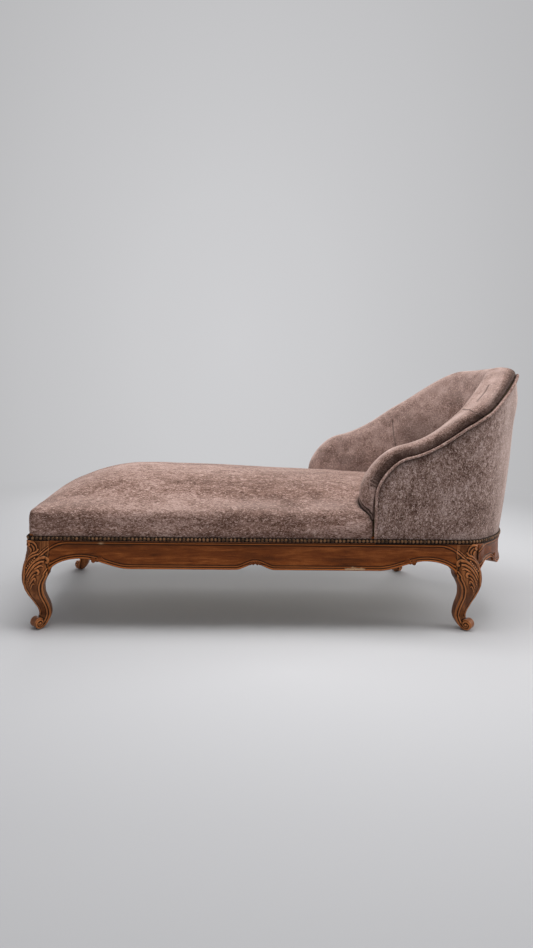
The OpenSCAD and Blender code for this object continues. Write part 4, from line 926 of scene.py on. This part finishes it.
def corner_knot():
    """A curl beside the arch with a leaf of three lobes."""
    shell = Shell()
    shell.add(scroll(-1, 4.5, 2.4, (5.0, 1.4), math.pi * 0.9, -1.05, 2.0, 2.7, 0.5))
    shell.ball((-4.5, 0.6, 2.4), 5.2)
    shell.ball((5.6, 1.8, 3.0), 4.2)
    for lift, reach in ((0.0, 30.0), (4.6, 24.0), (8.4, 15.0)):
        lobe = curve([(8, 1.4, 5.0 + lift * 0.6), (14, 1.6, 5.0 + lift), (reach, 0.2, -1.5 + lift)])
        shell.add(tube_rings(lobe, np.linspace(2.4, 0.9, 26), 10))
    return shell


def middle_knot():
    """Two curls back to back, each with a leaf along the rail's edge, and two pearls."""
    shell = Shell()
    for k in (-1, 1):
        shell.add(scroll(k, 7.6, 6.2, (4.4, 1.0), -math.pi / 2, 1.1, 1.6, 2.3, 0.6))
        leaf = curve([(k * 11, 1.6, 2.2), (k * 22, 1.2, 0.4), (k * 34, 0.6, -2.4)])
        shell.add(tube_rings(leaf, np.linspace(2.4, 1.0, 26), 10))
    shell.ball((0, 1.4, 4.0), 2.6)
    shell.ball((0, 1.2, 10.6), 2.2)
    return shell


def make_knots():
    """Carved knots on the lower edges of the rails."""
    corner, middle = (carved(shell, 0.8) for shell in (corner_knot(), middle_knot()))
    for rail, (place, length, apron, at) in RAILS.items():
        parts, base = [], 0
        for u0, mirror, big, knot in ((at, 1, 1.25, corner), (length - at, -1, 1.25, corner),
                                      (length / 2, 1, 1.12, middle)):
            (x, y, z), quads, groove_shade, edge = knot[0].T, *knot[1:]
            low = SHOW_TOP - float(apron_drop(u0, length / 2, *apron))
            parts.append((place(u0 + mirror * big * x, low - 2.0 + big * z, -y), quads + base, groove_shade, edge))
            base += len(x)
        points, faces, groove_shade, edge = (np.concatenate(part) for part in zip(*parts))
        ob = new_piece("apron_knots_" + rail, points, faces, WALNUT)
        close_normals(ob)
        if len(ob.data.vertices) == base:
            # painted shade in the recesses; paler edges, partly wear and partly a painted highlight
            attribute(ob, "painted_groove_shade", groove_shade)
            attribute(ob, "edge", edge)


make_knots()


# ---------------------------------------------------------------- seat
# The seat's border, from under the rails' top to the shoulder: how far it stands out, and its height
BORDER = ((-COVER_D0, COVER_Z0 + 2), (-COVER_D0, 297), (1.5, 303), (4.2, 315), (5.8, 332), (5.9, 348), (4.6, 361),
          (1.2, 372.5))
CROWN = (0.012, 0.035, 0.07, 0.11, 0.16, 0.22, 0.3, 0.38, 0.47, 0.56, 0.65, 0.74, 0.83, 0.91, 0.97)


def seat_form(steps, inset):
    """Rings of the seat: under the rails' top, up the border, round the shoulder and over the crown."""
    base = outline(0, steps)
    middle = np.clip(base[:, 0], SEAT_MID_X, INNER_X)
    middle = np.stack([middle, np.zeros_like(middle)], -1)

    def ring(grow):
        return middle + (base - middle) * (1 + grow / HALF_W)

    rings = [np.column_stack([ring(grow - inset), np.full(len(base), z)]) for grow, z in BORDER]
    for share in CROWN:
        q = ring(-share * HALF_W - inset)
        z = seat_z(q[:, 0], q[:, 1]) - 2.0 * math.exp(-share / 0.03)
        rings.append(np.column_stack([q, z - inset]))
    return np.array(rings)


def roll_height(lead, s, z):
    """Thickness of the roll along its line: thin at its foot, full round the arm, slimmer on the slope."""
    up = np.clip((z - ROLL_FOOT_Z) / (ARM_TOP - ROLL_FOOT_Z), 0, 1)
    foot = 0.16 + 0.84 * np.sin(np.minimum(1, up / 0.8) * math.pi / 2) ** 0.9
    run = np.clip((s - arm_s(lead) - ARM_TURN_L) / (MID_S - arm_s(lead) - ARM_TURN_L), 0, 1)
    body = 27.0 + 14.0 * (1 - smooth(run / 0.45)) + 6.0 * smooth((run - 0.55) / 0.45)
    if lead:
        body = body + 8.0 * np.sin(math.pi * np.clip((run - 0.04) / 0.8, 0, 1))
    return np.where(z < ARM_TOP, foot, 1) * body


def facing_block(side, lead):
    """Room of the padded front of an arm, cut out of the seat."""
    a = math.pi * np.arange(15) / 14
    d = np.concatenate([ROLL_W / 2 * (1 - np.cos(a)), [ROLL_W + 4, -1]])
    rings = []
    for z in [*np.linspace(ROLL_FOOT_Z, ARM_TOP, 10), 560.0]:
        h = float(roll_height(lead, arm_s(lead), min(z, ARM_TOP))) + 1.5
        s = np.concatenate([arm_s(lead) - 0.8 - h * np.sin(a) ** 0.8, [arm_s(lead) + 8, arm_s(lead) + 8]])
        rings.append(tub_point(side, s, z, d))
    return np.array(rings)


def tub_block():
    """Room of the tub, cut out of the seat."""
    rings = []
    z = np.linspace(SHOW_TOP - 4, 620, 6)
    for side, lead in SIDES:
        front = arm_s(lead) - PIPING_R - GAP
        part = [np.concatenate([tub_point(side, k, z, -60.0), tub_point(side, k, z[::-1], BACK_T + 7.5)])
                for k in front + (MID_S - front) * np.linspace(0, 1, 40)]
        rings += part if side > 0 else part[-2::-1]
    return np.array(rings)


def carve_out(ob, rings):
    cutter = skin("cutter", rings)
    modify(ob, "BOOLEAN", operation="DIFFERENCE", solver="EXACT", object=cutter)
    me = cutter.data
    bpy.data.objects.remove(cutter)
    bpy.data.meshes.remove(me)


def make_seat():
    ob = skin("seat_cushion_form", seat_form((8, 44, 6, 22), 3.0))
    carve_out(ob, tub_block())
    for side, lead in SIDES:
        carve_out(ob, facing_block(side, lead))
    ob.name = "seat_velvet"
    remesh(ob, 9.0)
    modify(ob, "SMOOTH", factor=0.5, iterations=2)

    def free(p):
        in_tub = smooth((p[:, 0] - 1020) / 60.0) * smooth((np.abs(p[:, 1]) - 150) / 60.0)
        return smooth((p[:, 2] - 300) / 25.0) * (1 - in_tub)

    puff(ob, 5.0, free)
    modify(ob, "SUBSURF", levels=1)
    p = coords(ob.data)
    top = smooth((p[:, 2] - 330) / 60.0)
    p[:, 2] += top * (1.6 * noise3(p, 150.0, 3) + 0.8 * noise3(p, 60.0, 5))
    foot_end = 8.0 * bell(p[:, 0], 45, 70.0) * bell(p[:, 2], 400, 36.0)
    # every other nail pulls the cover in
    along = np.where(np.abs(p[:, 1]) > HALF_W - 25, p[:, 0], p[:, 1])
    pull = 0.5 + 0.5 * np.cos(2 * math.pi * along / (2 * NAIL_PITCH))
    p -= normals(ob.data) * (bell(p[:, 2], 303, 9.0) * (0.4 + 1.1 * pull) - foot_end)[:, None]
    set_coords(ob, p)
    ob.data.materials.append(VELVET)
    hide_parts("seat_cover", "seat_stuffing")
    return ob


seat = make_seat()

# ---------------------------------------------------------------- tub: padded inside and roll in one cover
BACK_D = 43.0
N_FRONT, N_TURN, N_RISE = 14, 34, 110
LINES = {side: edge_line(lead, ROLL_FOOT_Z, N_FRONT, N_TURN, N_RISE) for side, lead in SIDES}


def tub_grids(side, lead, inset):
    """The roll, the inside and the back of half a tub."""
    s, z, a = LINES[side]
    h = roll_height(lead, s, z) - inset
    k = math.pi * np.arange(19) / 18
    e = np.sin(k) ** 0.8
    roll_s = np.minimum(MID_S, s[:, None] - h[:, None] * e * np.sin(a)[:, None])
    roll_z = z[:, None] + h[:, None] * e * np.cos(a)[:, None]
    roll = tub_point(side, roll_s, roll_z, ((ROLL_W - inset) / 2 * (1 - np.cos(k)))[None, :])
    rows = N_FRONT + 1
    cs, top = s[N_FRONT:], z[N_FRONT:]
    bottom = np.maximum(306.0, ROLL_FOOT_Z - 0.6 * (cs - cs[0]))
    t = np.linspace(0, 1, rows)
    zz = bottom[:, None] + (top - bottom)[:, None] * t[None, :]
    ss = np.repeat(cs[:, None], rows, 1)
    ss[0], zz[0] = s[:rows], z[:rows]
    ease = smooth((top[:, None] - zz) / 70.0) * smooth((ss - cs[0]) / 60.0)
    swell = (BACK_T - ROLL_W + PAD_SWELL * 0.75 * np.sin(math.pi * np.clip(t, 0, 1))[None, :]) * ease
    return roll, tub_point(side, ss, zz, ROLL_W - inset + swell), tub_point(side, ss, zz, BACK_D)


def tub_solid(inset):
    points, faces, base = [], [], 0
    for side, lead in SIDES:
        roll, inner, back = tub_grids(side, lead, inset)
        edge = np.concatenate([back[0, :N_FRONT + 1], back[1:, N_FRONT]])
        cap = np.concatenate([roll[0], [edge[0]]])
        middle = np.repeat(cap.mean(0)[None], len(cap) + 1, 0)
        for grid, turn in ((roll, side < 0), (inner, side > 0), (back, side < 0),
                           (np.stack([roll[:, 0], edge], 1), side > 0),
                           (np.stack([inner[:, 0], back[:, 0]], 1), side < 0),
                           (np.stack([np.concatenate([cap, cap[:1]]), middle], 1), side > 0)):
            m, n = grid.shape[:2]
            f = grid_faces(m, n, base)
            faces.extend(flip(f) if turn else [tuple(q) for q in f])
            points.append(grid.reshape(-1, 3))
            base += m * n
    return np.concatenate(points), faces


def line_distance(p, path):
    """Distance of every point from a line of points, as far as 40 mm."""
    best = np.full(len(p), 1e9)
    near = np.flatnonzero((p > path.min(0) - 40).all(1) & (p < path.max(0) + 40).all(1))
    q = p[near]
    least = np.full(len(q), 1e9)
    for a, b in zip(path[:-1], path[1:]):
        d = b - a
        t = np.clip(((q - a) @ d) / max(d @ d, 1e-9), 0, 1)
        least = np.minimum(least, np.linalg.norm(q - a - t[:, None] * d, axis=1))
    best[near] = least
    return best


def settle(path, p, n, steps=24):
    """The line with even steps, moved along the surface's normals onto the surface."""
    path = np.asarray(path, float)
    run = run_of(path)
    at = np.linspace(0, run[-1], steps)
    even = []
    for q in np.stack([np.interp(at, run, path[:, k]) for k in range(3)], -1):
        v = np.argmin(((p - q) ** 2).sum(1))
        even.append(q - n[v] * ((q - p[v]) @ n[v]))
    return np.array(even)


def finer_near(ob, paths, reach):
    """Halves the edges of the mesh that lie near the lines."""
    p = coords(ob.data)
    near = np.any([line_distance(p, path) < reach for path in paths], 0)
    bm = bmesh.new()
    bm.from_mesh(ob.data)
    edges = [e for e in bm.edges if near[e.verts[0].index] and near[e.verts[1].index]]
    bmesh.ops.subdivide_edges(bm, edges=edges, cuts=1, use_grid_fill=True)
    bm.to_mesh(ob.data)
    bm.free()


def tub_marks(near):
    """Groups of lines on the tub's cover, each with its depth, width, painted shade and painted highlight; near is the
    near roll.
    """
    return (
        # pleats at the turn of the arm, the seam across the roll, the mouth of the arm, the fold inside the far arm
        ([[near[i, k] for k in range(reach)] for i, reach in ((18, 4), (20, 5), (22, 4), (25, 3))],
         -1.5, 2.2, 0.75, 0.0),
        ([[near[88, 0], near[88, 2], near[88, 4], near[88, 6], near[89, 8], near[89, 10], near[90, 12]]],
         -1.4, 2.0, 0.95, 0.0),
        ([[(1045, -310, 412), (1050, -326, 398), (1065, -348, 385), (1086, -356, 362)]], -2.4, 3.6, 1.0, 0.0),
        ([[(1323, 290, 680), (1328, 262, 645), (1331, 255, 603), (1340, 252, 560), (1351, 249, 522)]],
         2.2, 5.0, 0.0, 0.6),
        # raised ridges with a painted highlight, and sunken hollows with painted shade
        ([[(1406, -233, 685), (1437, -217, 716), (1461, -204, 753), (1500, -173, 799)],
          [(1434, -219, 712), (1457, -206, 749), (1483, -188, 782), (1529, -141, 824)],
          [(1358, 255, 560), (1352, 256, 600), (1350, 258, 640)]], 1.4, 4.0, 0.0, 0.9),
        ([[(1437, -289, 738), (1474, -268, 770), (1497, -246, 794)], list(near[:19, 0]),
          [(1345, 252, 660), (1350, 250, 600), (1362, 246, 530)]], -1.2, 3.2, 0.7, 0.0))


def dress_tub(ob):
    """Pleats, the seam across the roll and wrinkles, with painted shade in their hollows and painted highlights beside
    them; painted highlight and painted shade round the roll and on the tub's inside.
    """
    near, far = (tub_grids(side, lead, 0.0)[0] for side, lead in SIDES)
    p, n = coords(ob.data), normals(ob.data)
    groups = [([settle(line, p, n) for line in lines], *look) for lines, *look in tub_marks(near)]
    finer_near(ob, [line for lines, *look in groups for line in lines], 13.0)
    p, n = coords(ob.data), normals(ob.data)
    painted_shade, crest, lift = np.zeros((3, len(p)))
    for lines, depth, width, shade, shine in groups:
        for line in lines:
            d = line_distance(p, line)
            here, side = bell(d, 0, width), bell(d, 2.2 * width, width)
            # painted shade along each line and painted highlight on its ridge and beside it
            lift += depth * here + (-0.35 * depth * side if depth < 0 else 0)
            painted_shade = np.maximum(painted_shade, shade * bell(d, 0, 0.85 * width))
            crest = np.maximum(crest, shine * here + (0.45 * side * shade))
    pile = 0.5 + 0.5 * np.clip(noise3(p, 26.0, 12) + 0.6 * noise3(p, 90.0, 7), -1, 1)
    x, y, z = p.T
    # painted shade low inside the head end of the tub
    hollow_shade = smooth((x - 1330) / 90.0) * smooth((740 - z) / 160.0) * (y > -150) * (z > 400)
    painted_shade = np.maximum(painted_shade, 0.42 * hollow_shade)
    # painted highlight on the upper inside of the head end
    lit = smooth((z - 680) / 90.0) * smooth((x - 1380) / 60.0) * (n[:, 0] < -0.2)
    crest = np.maximum(crest, lit * (0.3 + 0.5 * pile))
    # painted highlight on the inside of the far arm
    inside = (y > 120) & (n[:, 1] < -0.3) & (z > 400)
    crest[inside] = np.maximum(crest, 0.15 + 0.4 * pile)[inside]
    # round the roll: a painted highlight along its crest, and on the near roll painted shade just above the piping
    tree = tree_of(np.concatenate([near.reshape(-1, 3), far.reshape(-1, 3)]))
    count = near.shape[0] * near.shape[1]
    for v in np.flatnonzero((z >= 400) | (x <= 1150)):
        k, gap = tree.find(p[v])[1:]
        if gap > 14:
            continue
        station, angle = divmod(k % count, near.shape[1])
        on = min(1.0, max(0.0, (station - 15) / 6.0))
        turn = angle * 10.0
        top = math.exp(-((turn - 92) / 27.0) ** 2)
        crest[v] = max(crest[v], (0.3 + 0.75 * on) * top * (0.45 + 0.55 * pile[v]))
        if k < count:
            low = min(1.0, max(0.0, (60 - turn) / 30.0))
            painted_shade[v] = max(painted_shade[v], 0.95 * on * low * (0.72 + 0.28 * pile[v]))
    set_coords(ob, p + n * lift[:, None])
    attribute(ob, "painted_shade", painted_shade)
    attribute(ob, "crest", crest)


def make_tub():
    ob = new_piece("tub_velvet", *tub_solid(2.0))
    close_normals(ob)
    remesh(ob, 7.0)
    modify(ob, "SMOOTH", factor=0.5, iterations=2)
    puff(ob, 3.0, lambda p: np.full(len(p), 0.8))
    modify(ob, "SUBSURF", levels=1)
    dress_tub(ob)
    ob.data.materials.append(VELVET_BACK_SHADED)
    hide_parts("back_roll", "inside_back_pad")
    return ob


tub = make_tub()


# ---------------------------------------------------------------- outside cover, piping and stitches
def outside_grid(side, d):
    s, z, _ = LINES[side]
    cs, top = s[N_FRONT:], z[N_FRONT:] - 1.0
    rows = 46
    t = 0.5 - 0.5 * np.cos(math.pi * np.linspace(0, 1, rows))
    zz = COVER_Z0 + (top - COVER_Z0)[:, None] * t[None, :]
    ss = np.minimum(np.repeat((cs + 1.0 * np.exp(-(cs - cs[0]) / 3.0))[:, None], rows, 1), MID_S)
    away = smooth((ss - cs[0]) / 45.0)
    puffed = 2.2 * np.sin(math.pi * np.clip((zz - COVER_Z0) / (top - COVER_Z0)[:, None], 0, 1)) * away
    head_end = smooth((tub_point(side, ss, zz, d)[..., 0] - 1500) / 120.0)
    full = 8.0 * bell((top - 1.0)[:, None] - zz, 85.0, 55.0) * head_end
    return tub_point(side, ss, zz, d - puffed - full)


def make_outside():
    outer, inner = (np.concatenate([outside_grid(1, d), outside_grid(-1, d)[-2::-1]])
                    for d in (COVER_D0, COVER_D0 + COVER_T))
    ob = skin("tub_outside_velvet", np.concatenate([outer, inner[:, ::-1]], 1), VELVET_OUT)
    p = coords(ob.data)
    below = line_distance(p, outer[:, -1])
    blotch = 0.5 + 0.5 * np.clip(1.6 * noise3(p * np.array([1, 1, 0.22]), 24.0, 15), -1, 1)
    # painted shade under the piping and just above the braid
    attribute(ob, "painted_shade", np.maximum(0.95 * np.exp(-np.maximum(0, below - 6) / 6.0),
                                       0.4 * np.exp(-(p[:, 2] - 297) / 12.0)))
    # painted highlight towards the head end
    attribute(ob, "crest", smooth((p[:, 0] - 1440) / 170.0) * (0.55 + 0.45 * blotch))
    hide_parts("outside_back_cover")


def make_piping():
    d = COVER_D0 - PIPING_R - GAP
    near, far = (tub_point(side, *edge_line(lead, COVER_Z0 + BRAID_H + GAP, 30, 50, 260)[:2], d)
                 for side, lead in SIDES)
    path = np.concatenate([near, far[-2::-1]])
    run = run_of(path)
    radius = PIPING_R * (1 + 0.05 * noise1(run / 9.0, 3) + 0.03 * noise1(run / 3.0, 8))
    ob = skin("piping_cord", tube_rings(path, radius, 12, (0.0, 1.0, 0.0)), VELVET_PIPE_LIT)
    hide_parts("back_piping")


def make_stitches():
    """Thread beside the upright piping of the near arm: a few loose light stitches, and a row of dark dashes that
    stand as painted shade for the gaps beside the piping.
    """
    s0, d = arm_s(0.0), COVER_D0 - 0.4
    loose = [(5.5, 441, 10.5, 437), (5.5, 431, 11, 426), (5.5, 421, 9.5, 417), (6, 384, 9, 380), (6, 328, 9, 324),
             (6, 309, 9.5, 306)]
    row = [(7.5, z, 7.3, z - 5.2) for z in np.arange(413.0, 328.0, -11.5)]
    t, sides = np.linspace(0, 1, 7), 8
    # the dark dashes are painted shade for the gaps beside the piping
    for name, marks, radius, material in (("back_stitches_light", loose, 1.0, VELVET_PIPE_LIT),
                                          ("back_stitches_gap_shade", row, 0.85, BRAID)):
        points, faces = [], []
        for sa, za, sb, zb in marks:
            path = tub_point(1, s0 + sa + (sb - sa) * t, za + (zb - za) * t, d - 0.9 * np.sin(math.pi * t))
            base = len(points) * len(t) * sides
            last = base + (len(t) - 1) * sides
            points.append(tube_rings(path, radius * np.sin(math.pi * (0.08 + 0.84 * t)) ** 0.5, sides).reshape(-1, 3))
            faces += [tuple(f) for f in grid_faces(len(t), sides, base, loop_n=True)]
            faces += [tuple(range(base, base + sides)), tuple(range(last, last + sides))]
        ob = new_piece(name, np.concatenate(points), faces, material)
        close_normals(ob)


make_outside()
make_piping()
make_stitches()


def contact_shade(p, pick, others, most):
    """How dark the picked points are painted, as painted shade, by their distance from the points they press on."""
    tree = tree_of(others)
    return [most * math.exp(-max(0.0, tree.find(p[v])[2] - 3.0) / 6.0) for v in pick]


def paint_contact_shade():
    """Painted shade where the seat and the tub press on each other, and a painted highlight along the seat's shoulder.
    """
    a, b = coords(seat.data), coords(tub.data)
    low = b[:, 2] < 520
    pick = np.flatnonzero((a[:, 0] > 1015) & (a[:, 2] > 330))
    dark = np.zeros(len(a))
    dark[pick] = contact_shade(a, pick, b[low & (b[:, 2] > 320)], 0.9)
    attribute(seat, "painted_shade", dark)
    # painted highlight along the seat's shoulder and over its top
    shoulder = bell(a[:, 2], 392, 20.0) + 0.2 * smooth((a[:, 2] - 420) / 30.0)
    lie = np.clip(noise3(a * np.array([0.3, 1, 1]), 30.0, 31) + 0.5, 0, 1)
    attribute(seat, "crest", shoulder * (0.22 + 0.28 * lie))
    # painted shade on the tub where the seat presses on it
    pick = np.flatnonzero(low & (b[:, 2] > 330))
    data = tub.data.attributes["painted_shade"].data
    for v, shade in zip(pick, contact_shade(b, pick, a[a[:, 0] > 1000], 0.8)):
        data[v].value = max(data[v].value, shade)


paint_contact_shade()

# ---------------------------------------------------------------- braid and nails
BRAID_OUT = GAP - COVER_D0
BAND_Z0, BAND_H = COVER_Z0 + 2.0, 14.2
BRAID_STEPS = (40, 620, 70, 190)
NAIL_OUT = BRAID_OUT + BRAID_T + GAP / 2
NAIL_SIDES = 16
# Rings of a nail's head: share of its radius, share of its height, and how pale it is painted towards the top, partly
# wear and partly a painted highlight
NAIL_RINGS = ((1.0, -0.15, 0.0), (1.0, 0.06, 0.0), (0.97, 0.2, 0.0), (0.86, 0.46, 0.0), (0.66, 0.72, 0.35),
              (0.42, 0.9, 0.8), (0.2, 0.98, 1.0))


def make_braid():
    run = run_of(outline(0, BRAID_STEPS))
    inner = outline(BRAID_OUT, BRAID_STEPS)
    rings = []
    for k, t in enumerate(np.linspace(0, 1, 11)):
        edge = abs(t - 0.5) * 2
        bulge = BRAID_T * (0.55 + 0.45 * math.cos((t - 0.5) * math.pi)) + (0.5 if 0.78 < edge < 0.95 else 0)
        wave = 0.35 * np.sin(run / 2.1 + (3.0 if k % 2 else 0) + 4 * t)
        q = outline(BRAID_OUT + bulge, BRAID_STEPS)
        n = q - inner
        n /= np.linalg.norm(n, axis=1, keepdims=True)
        rings.append(np.column_stack([q + n * wave[:, None],
                                      BAND_Z0 + BAND_H * t + 0.3 * np.sin(run / 3.4) * (edge > 0.95)]))
    for z in (BAND_Z0 + BAND_H, BAND_Z0):
        rings.append(np.column_stack([inner, np.full(len(inner), z)]))
    ob = skin("braid_band", np.array(rings).transpose(1, 0, 2), BRAID, loop=True)
    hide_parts("braid")


make_braid()


def make_nails(name, node, places):
    """Domed heads with a slightly uneven, hammered top; places are x, y and the outward direction."""
    a = circle(NAIL_SIDES)
    up = np.array([0.0, 0.0, 1.0])
    points, faces, base = [], [], 0
    for k, (x, y, nx, ny) in enumerate(places):
        along, lift, size = (noise1(np.array([k * pace]), seed)[0] for pace, seed in ((3.7, 4), (5.3, 9), (7.1, 2)))
        r = NAIL_D / 2 * (0.94 + 0.03 * size)
        side, out = np.array([-ny, nx, 0.0]), np.array([nx, ny, 0.0])
        centre = np.array([x, y, BAND_Z0 + BAND_H / 2]) + side * (0.35 * along) + up * (0.35 * lift)
        turned = np.cos(a)[:, None] * side + np.sin(a)[:, None] * up
        points += [centre + out * NAIL_H * high + r * share * turned for share, high, _ in NAIL_RINGS]
        points.append((centre + out * NAIL_H)[None])
        faces += [tuple(f) for f in grid_faces(len(NAIL_RINGS), NAIL_SIDES, base, loop_n=True)]
        tip = base + len(NAIL_RINGS) * NAIL_SIDES
        last = tip - NAIL_SIDES
        faces += [(last + i, last + (i + 1) % NAIL_SIDES, tip) for i in range(NAIL_SIDES)]
        base = tip + 1
    ob = new_piece(name, np.concatenate(points), faces, NAIL)
    # how pale each ring is painted: partly wear, partly a painted highlight
    attribute(ob, "dome", (sum(([worn] * NAIL_SIDES for _, _, worn in NAIL_RINGS), []) + [1.0]) * len(places))
    close_normals(ob, weld=False)
    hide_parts(node)


side_run = EASE_X - FOOT_CORNER_R
side_count = int(side_run // NAIL_PITCH)
side_x = FOOT_CORNER_R + side_run * np.arange(side_count + 1) / side_count
head_count = int(MID_S // NAIL_PITCH)
foot_run = FRAME_W - 2 * FOOT_CORNER_R
foot_count = int(foot_run // NAIL_PITCH)
corner_r = FOOT_CORNER_R + NAIL_OUT
corner_count = int(corner_r * math.pi / 2 // NAIL_PITCH)
head_nails = []
foot_nails = [(-NAIL_OUT, -foot_run / 2 + foot_run * k / foot_count, -1.0, 0.0) for k in range(foot_count + 1)]
for side, _ in SIDES:
    for k in range(1, head_count + 1):
        s = MID_S * k / (head_count + 0.5)
        x, y = plan_point(s, NAIL_OUT)
        a = float(heading(s))
        head_nails.append((float(x), side * float(y), math.sin(a), -side * math.cos(a)))
for side in (-1, 1):
    for k in range(1, corner_count):
        a = math.pi / 2 * k / corner_count
        y = -side * (HALF_W - FOOT_CORNER_R + corner_r * math.sin(a))
        foot_nails.append((FOOT_CORNER_R - corner_r * math.cos(a), y, -math.cos(a), -side * math.sin(a)))
make_nails("nail_heads_near", "nails_near", [(x, -HALF_W - NAIL_OUT, 0.0, -1.0) for x in side_x])
make_nails("nail_heads_far", "nails_far", [(x, HALF_W + NAIL_OUT, 0.0, 1.0) for x in side_x])
make_nails("nail_heads_head", "nails_head", head_nails)
make_nails("nail_heads_foot", "nails_foot", foot_nails)

# ---------------------------------------------------------------- finishes of the hidden solids
HIDDEN = {"beech": BEECH, "jute": JUTE, "calico": CALICO, "steel": STEEL}
SLOT_OF = {p["node"]: p["material_slot"] for p in frame["record"]["subparts"]}
for node, ob in frame["nodes"].items():
    if SLOT_OF.get(node) in HIDDEN:
        for item in (ob if isinstance(ob, (list, tuple)) else [ob]):
            item.data.materials.clear()
            item.data.materials.append(HIDDEN[SLOT_OF[node]])

# ---------------------------------------------------------------- camera, light and floor
# The fitted camera: where its eye is in metres, and its focal length and the picture's middle in pixels
EYE = (0.5237 - MIDDLE_X / 1000.0, -2.1152, 0.7096)
YAW, ROLL = math.radians(2.0), math.radians(1.0)
PICTURE_H, FOCAL, SENSOR, SHIFT_X, SHIFT_Y = 948.0, 565.0, 36.0, 48.0, -69.0


def make_camera():
    data = bpy.data.cameras.new("photo_camera")
    data.sensor_width = SENSOR
    data.sensor_fit = "AUTO"
    data.lens = FOCAL * SENSOR / PICTURE_H
    data.shift_x, data.shift_y = SHIFT_X / PICTURE_H, SHIFT_Y / PICTURE_H
    data.clip_start, data.clip_end = 0.05, 200.0
    cam = add_object("photo_camera", data)
    ahead = Vector((math.sin(YAW), math.cos(YAW), 0.0))
    right = Vector((math.cos(YAW), -math.sin(YAW), 0.0))
    up = Vector((0.0, 0.0, 1.0))
    turn = Matrix((right * math.cos(ROLL) + up * math.sin(ROLL), up * math.cos(ROLL) - right * math.sin(ROLL), -ahead))
    turn = turn.transposed().to_4x4()
    turn.translation = Vector(EYE)
    cam.matrix_world = turn
    SCENE.camera = cam


make_camera()

# Lamps: their place, the point they face, their size and their power
for name, place, target, size, power in (("overhead", (-0.1, -0.5, 2.9), (0.0, -0.05, 0.3), (2.6, 1.6), 76.0),
                                         ("front_fill", (-1.0, -3.2, 1.6), (0.0, 0.0, 0.35), (2.2, 2.2), 7.0),
                                         ("behind", (0.2, 2.6, 1.3), (0.1, 0.0, 0.0), (3.6, 0.9), 66.0),
                                         ("head_side", (3.0, -0.3, 1.5), (0.6, 0.0, 0.5), (1.6, 1.6), 44.0)):
    lamp = bpy.data.lights.new(name, "AREA")
    lamp.shape = "RECTANGLE"
    lamp.size, lamp.size_y = size
    lamp.energy = power
    ob = add_object(name, lamp)
    ob.location = place
    ob.visible_camera = False
    ob.rotation_euler = (Vector(target) - Vector(place)).to_track_quat("-Z", "Y").to_euler()


def backdrop(tree, direction):
    """Colour of the backdrop in a direction: pale grey, a little darker away from the middle as a painted falloff of
    light.
    """
    parts = tree.node("SeparateXYZ", direction).outputs
    x = tree.math("SUBTRACT", parts[0], 0.064)
    z = tree.math("MULTIPLY", tree.math("SUBTRACT", parts[2], 0.12), 0.7)
    off = tree.math("SQRT", tree.math("ADD", tree.math("MULTIPLY", x, x), tree.math("MULTIPLY", z, z)))
    return tree.ramp(off, (0.0, (0.624, 0.624, 0.640)), (0.17, (0.600, 0.600, 0.614)), (0.36, (0.540, 0.540, 0.552)),
                     (0.62, (0.425, 0.425, 0.432)))


# The world lights the couch evenly, and shows the backdrop to the camera, to gloss and to glass
world = bpy.data.worlds.new("studio")
SCENE.world = world
world.use_nodes = True
world.node_tree.nodes.clear()
sky = Nodes(world.node_tree)
rays = sky.node("LightPath").outputs
shown = sky.math("MAXIMUM", sky.math("MAXIMUM", rays["Is Camera Ray"], rays["Is Glossy Ray"]),
                 rays["Is Transmission Ray"])
lit = sky.node("Background", (0.98, 0.985, 1.02), 0.31)
seen = sky.node("Background", backdrop(sky, sky.node("TexCoord").outputs["Generated"]))
sky.node("OutputWorld", sky.node("MixShader", shown, lit.outputs[0], seen.outputs[0]).outputs[0])

# The floor's colour darkens away from the couch, a painted pool of light, and far off the floor glows with the
# backdrop's own colour
me = bpy.data.meshes.new("floor")
me.from_pydata([(-30, -30, 0), (30, -30, 0), (30, 30, 0), (-30, 30, 0)], [], [(0, 1, 2, 3)])
floor = add_object("floor", me)
ground = Finish("floor_grey")
narrowed = ground.vector("MULTIPLY", ground.place, (0.5, 1.0, 1.0))
off = ground.vector("DISTANCE", narrowed.outputs[0], (-0.02, -0.62, 0.0))
# painted pool of light: paler near the couch, darker away from it
ground.set(Base_Color=ground.ramp(off.outputs["Value"], (0.0, (0.60, 0.60, 0.612)), (0.85, (0.44, 0.44, 0.449))),
           Roughness=0.9, Specular_IOR_Level=0.1)
sight = ground.vector("NORMALIZE", ground.vector("SUBTRACT", ground.place, EYE).outputs[0])
glow = ground.node("Emission", backdrop(ground, sight.outputs[0]))
far_off = ground.span(ground.vector("LENGTH", ground.place).outputs["Value"], 1.1, 3.6)
surface = ground.node("MixShader", far_off, ground.shader.outputs[0], glow.outputs[0]).outputs[0]
ground.feed(ground.tree.nodes["Material Output"].inputs[0], surface)
me.materials.append(ground.material)

SCENE.view_settings.view_transform = "Standard"
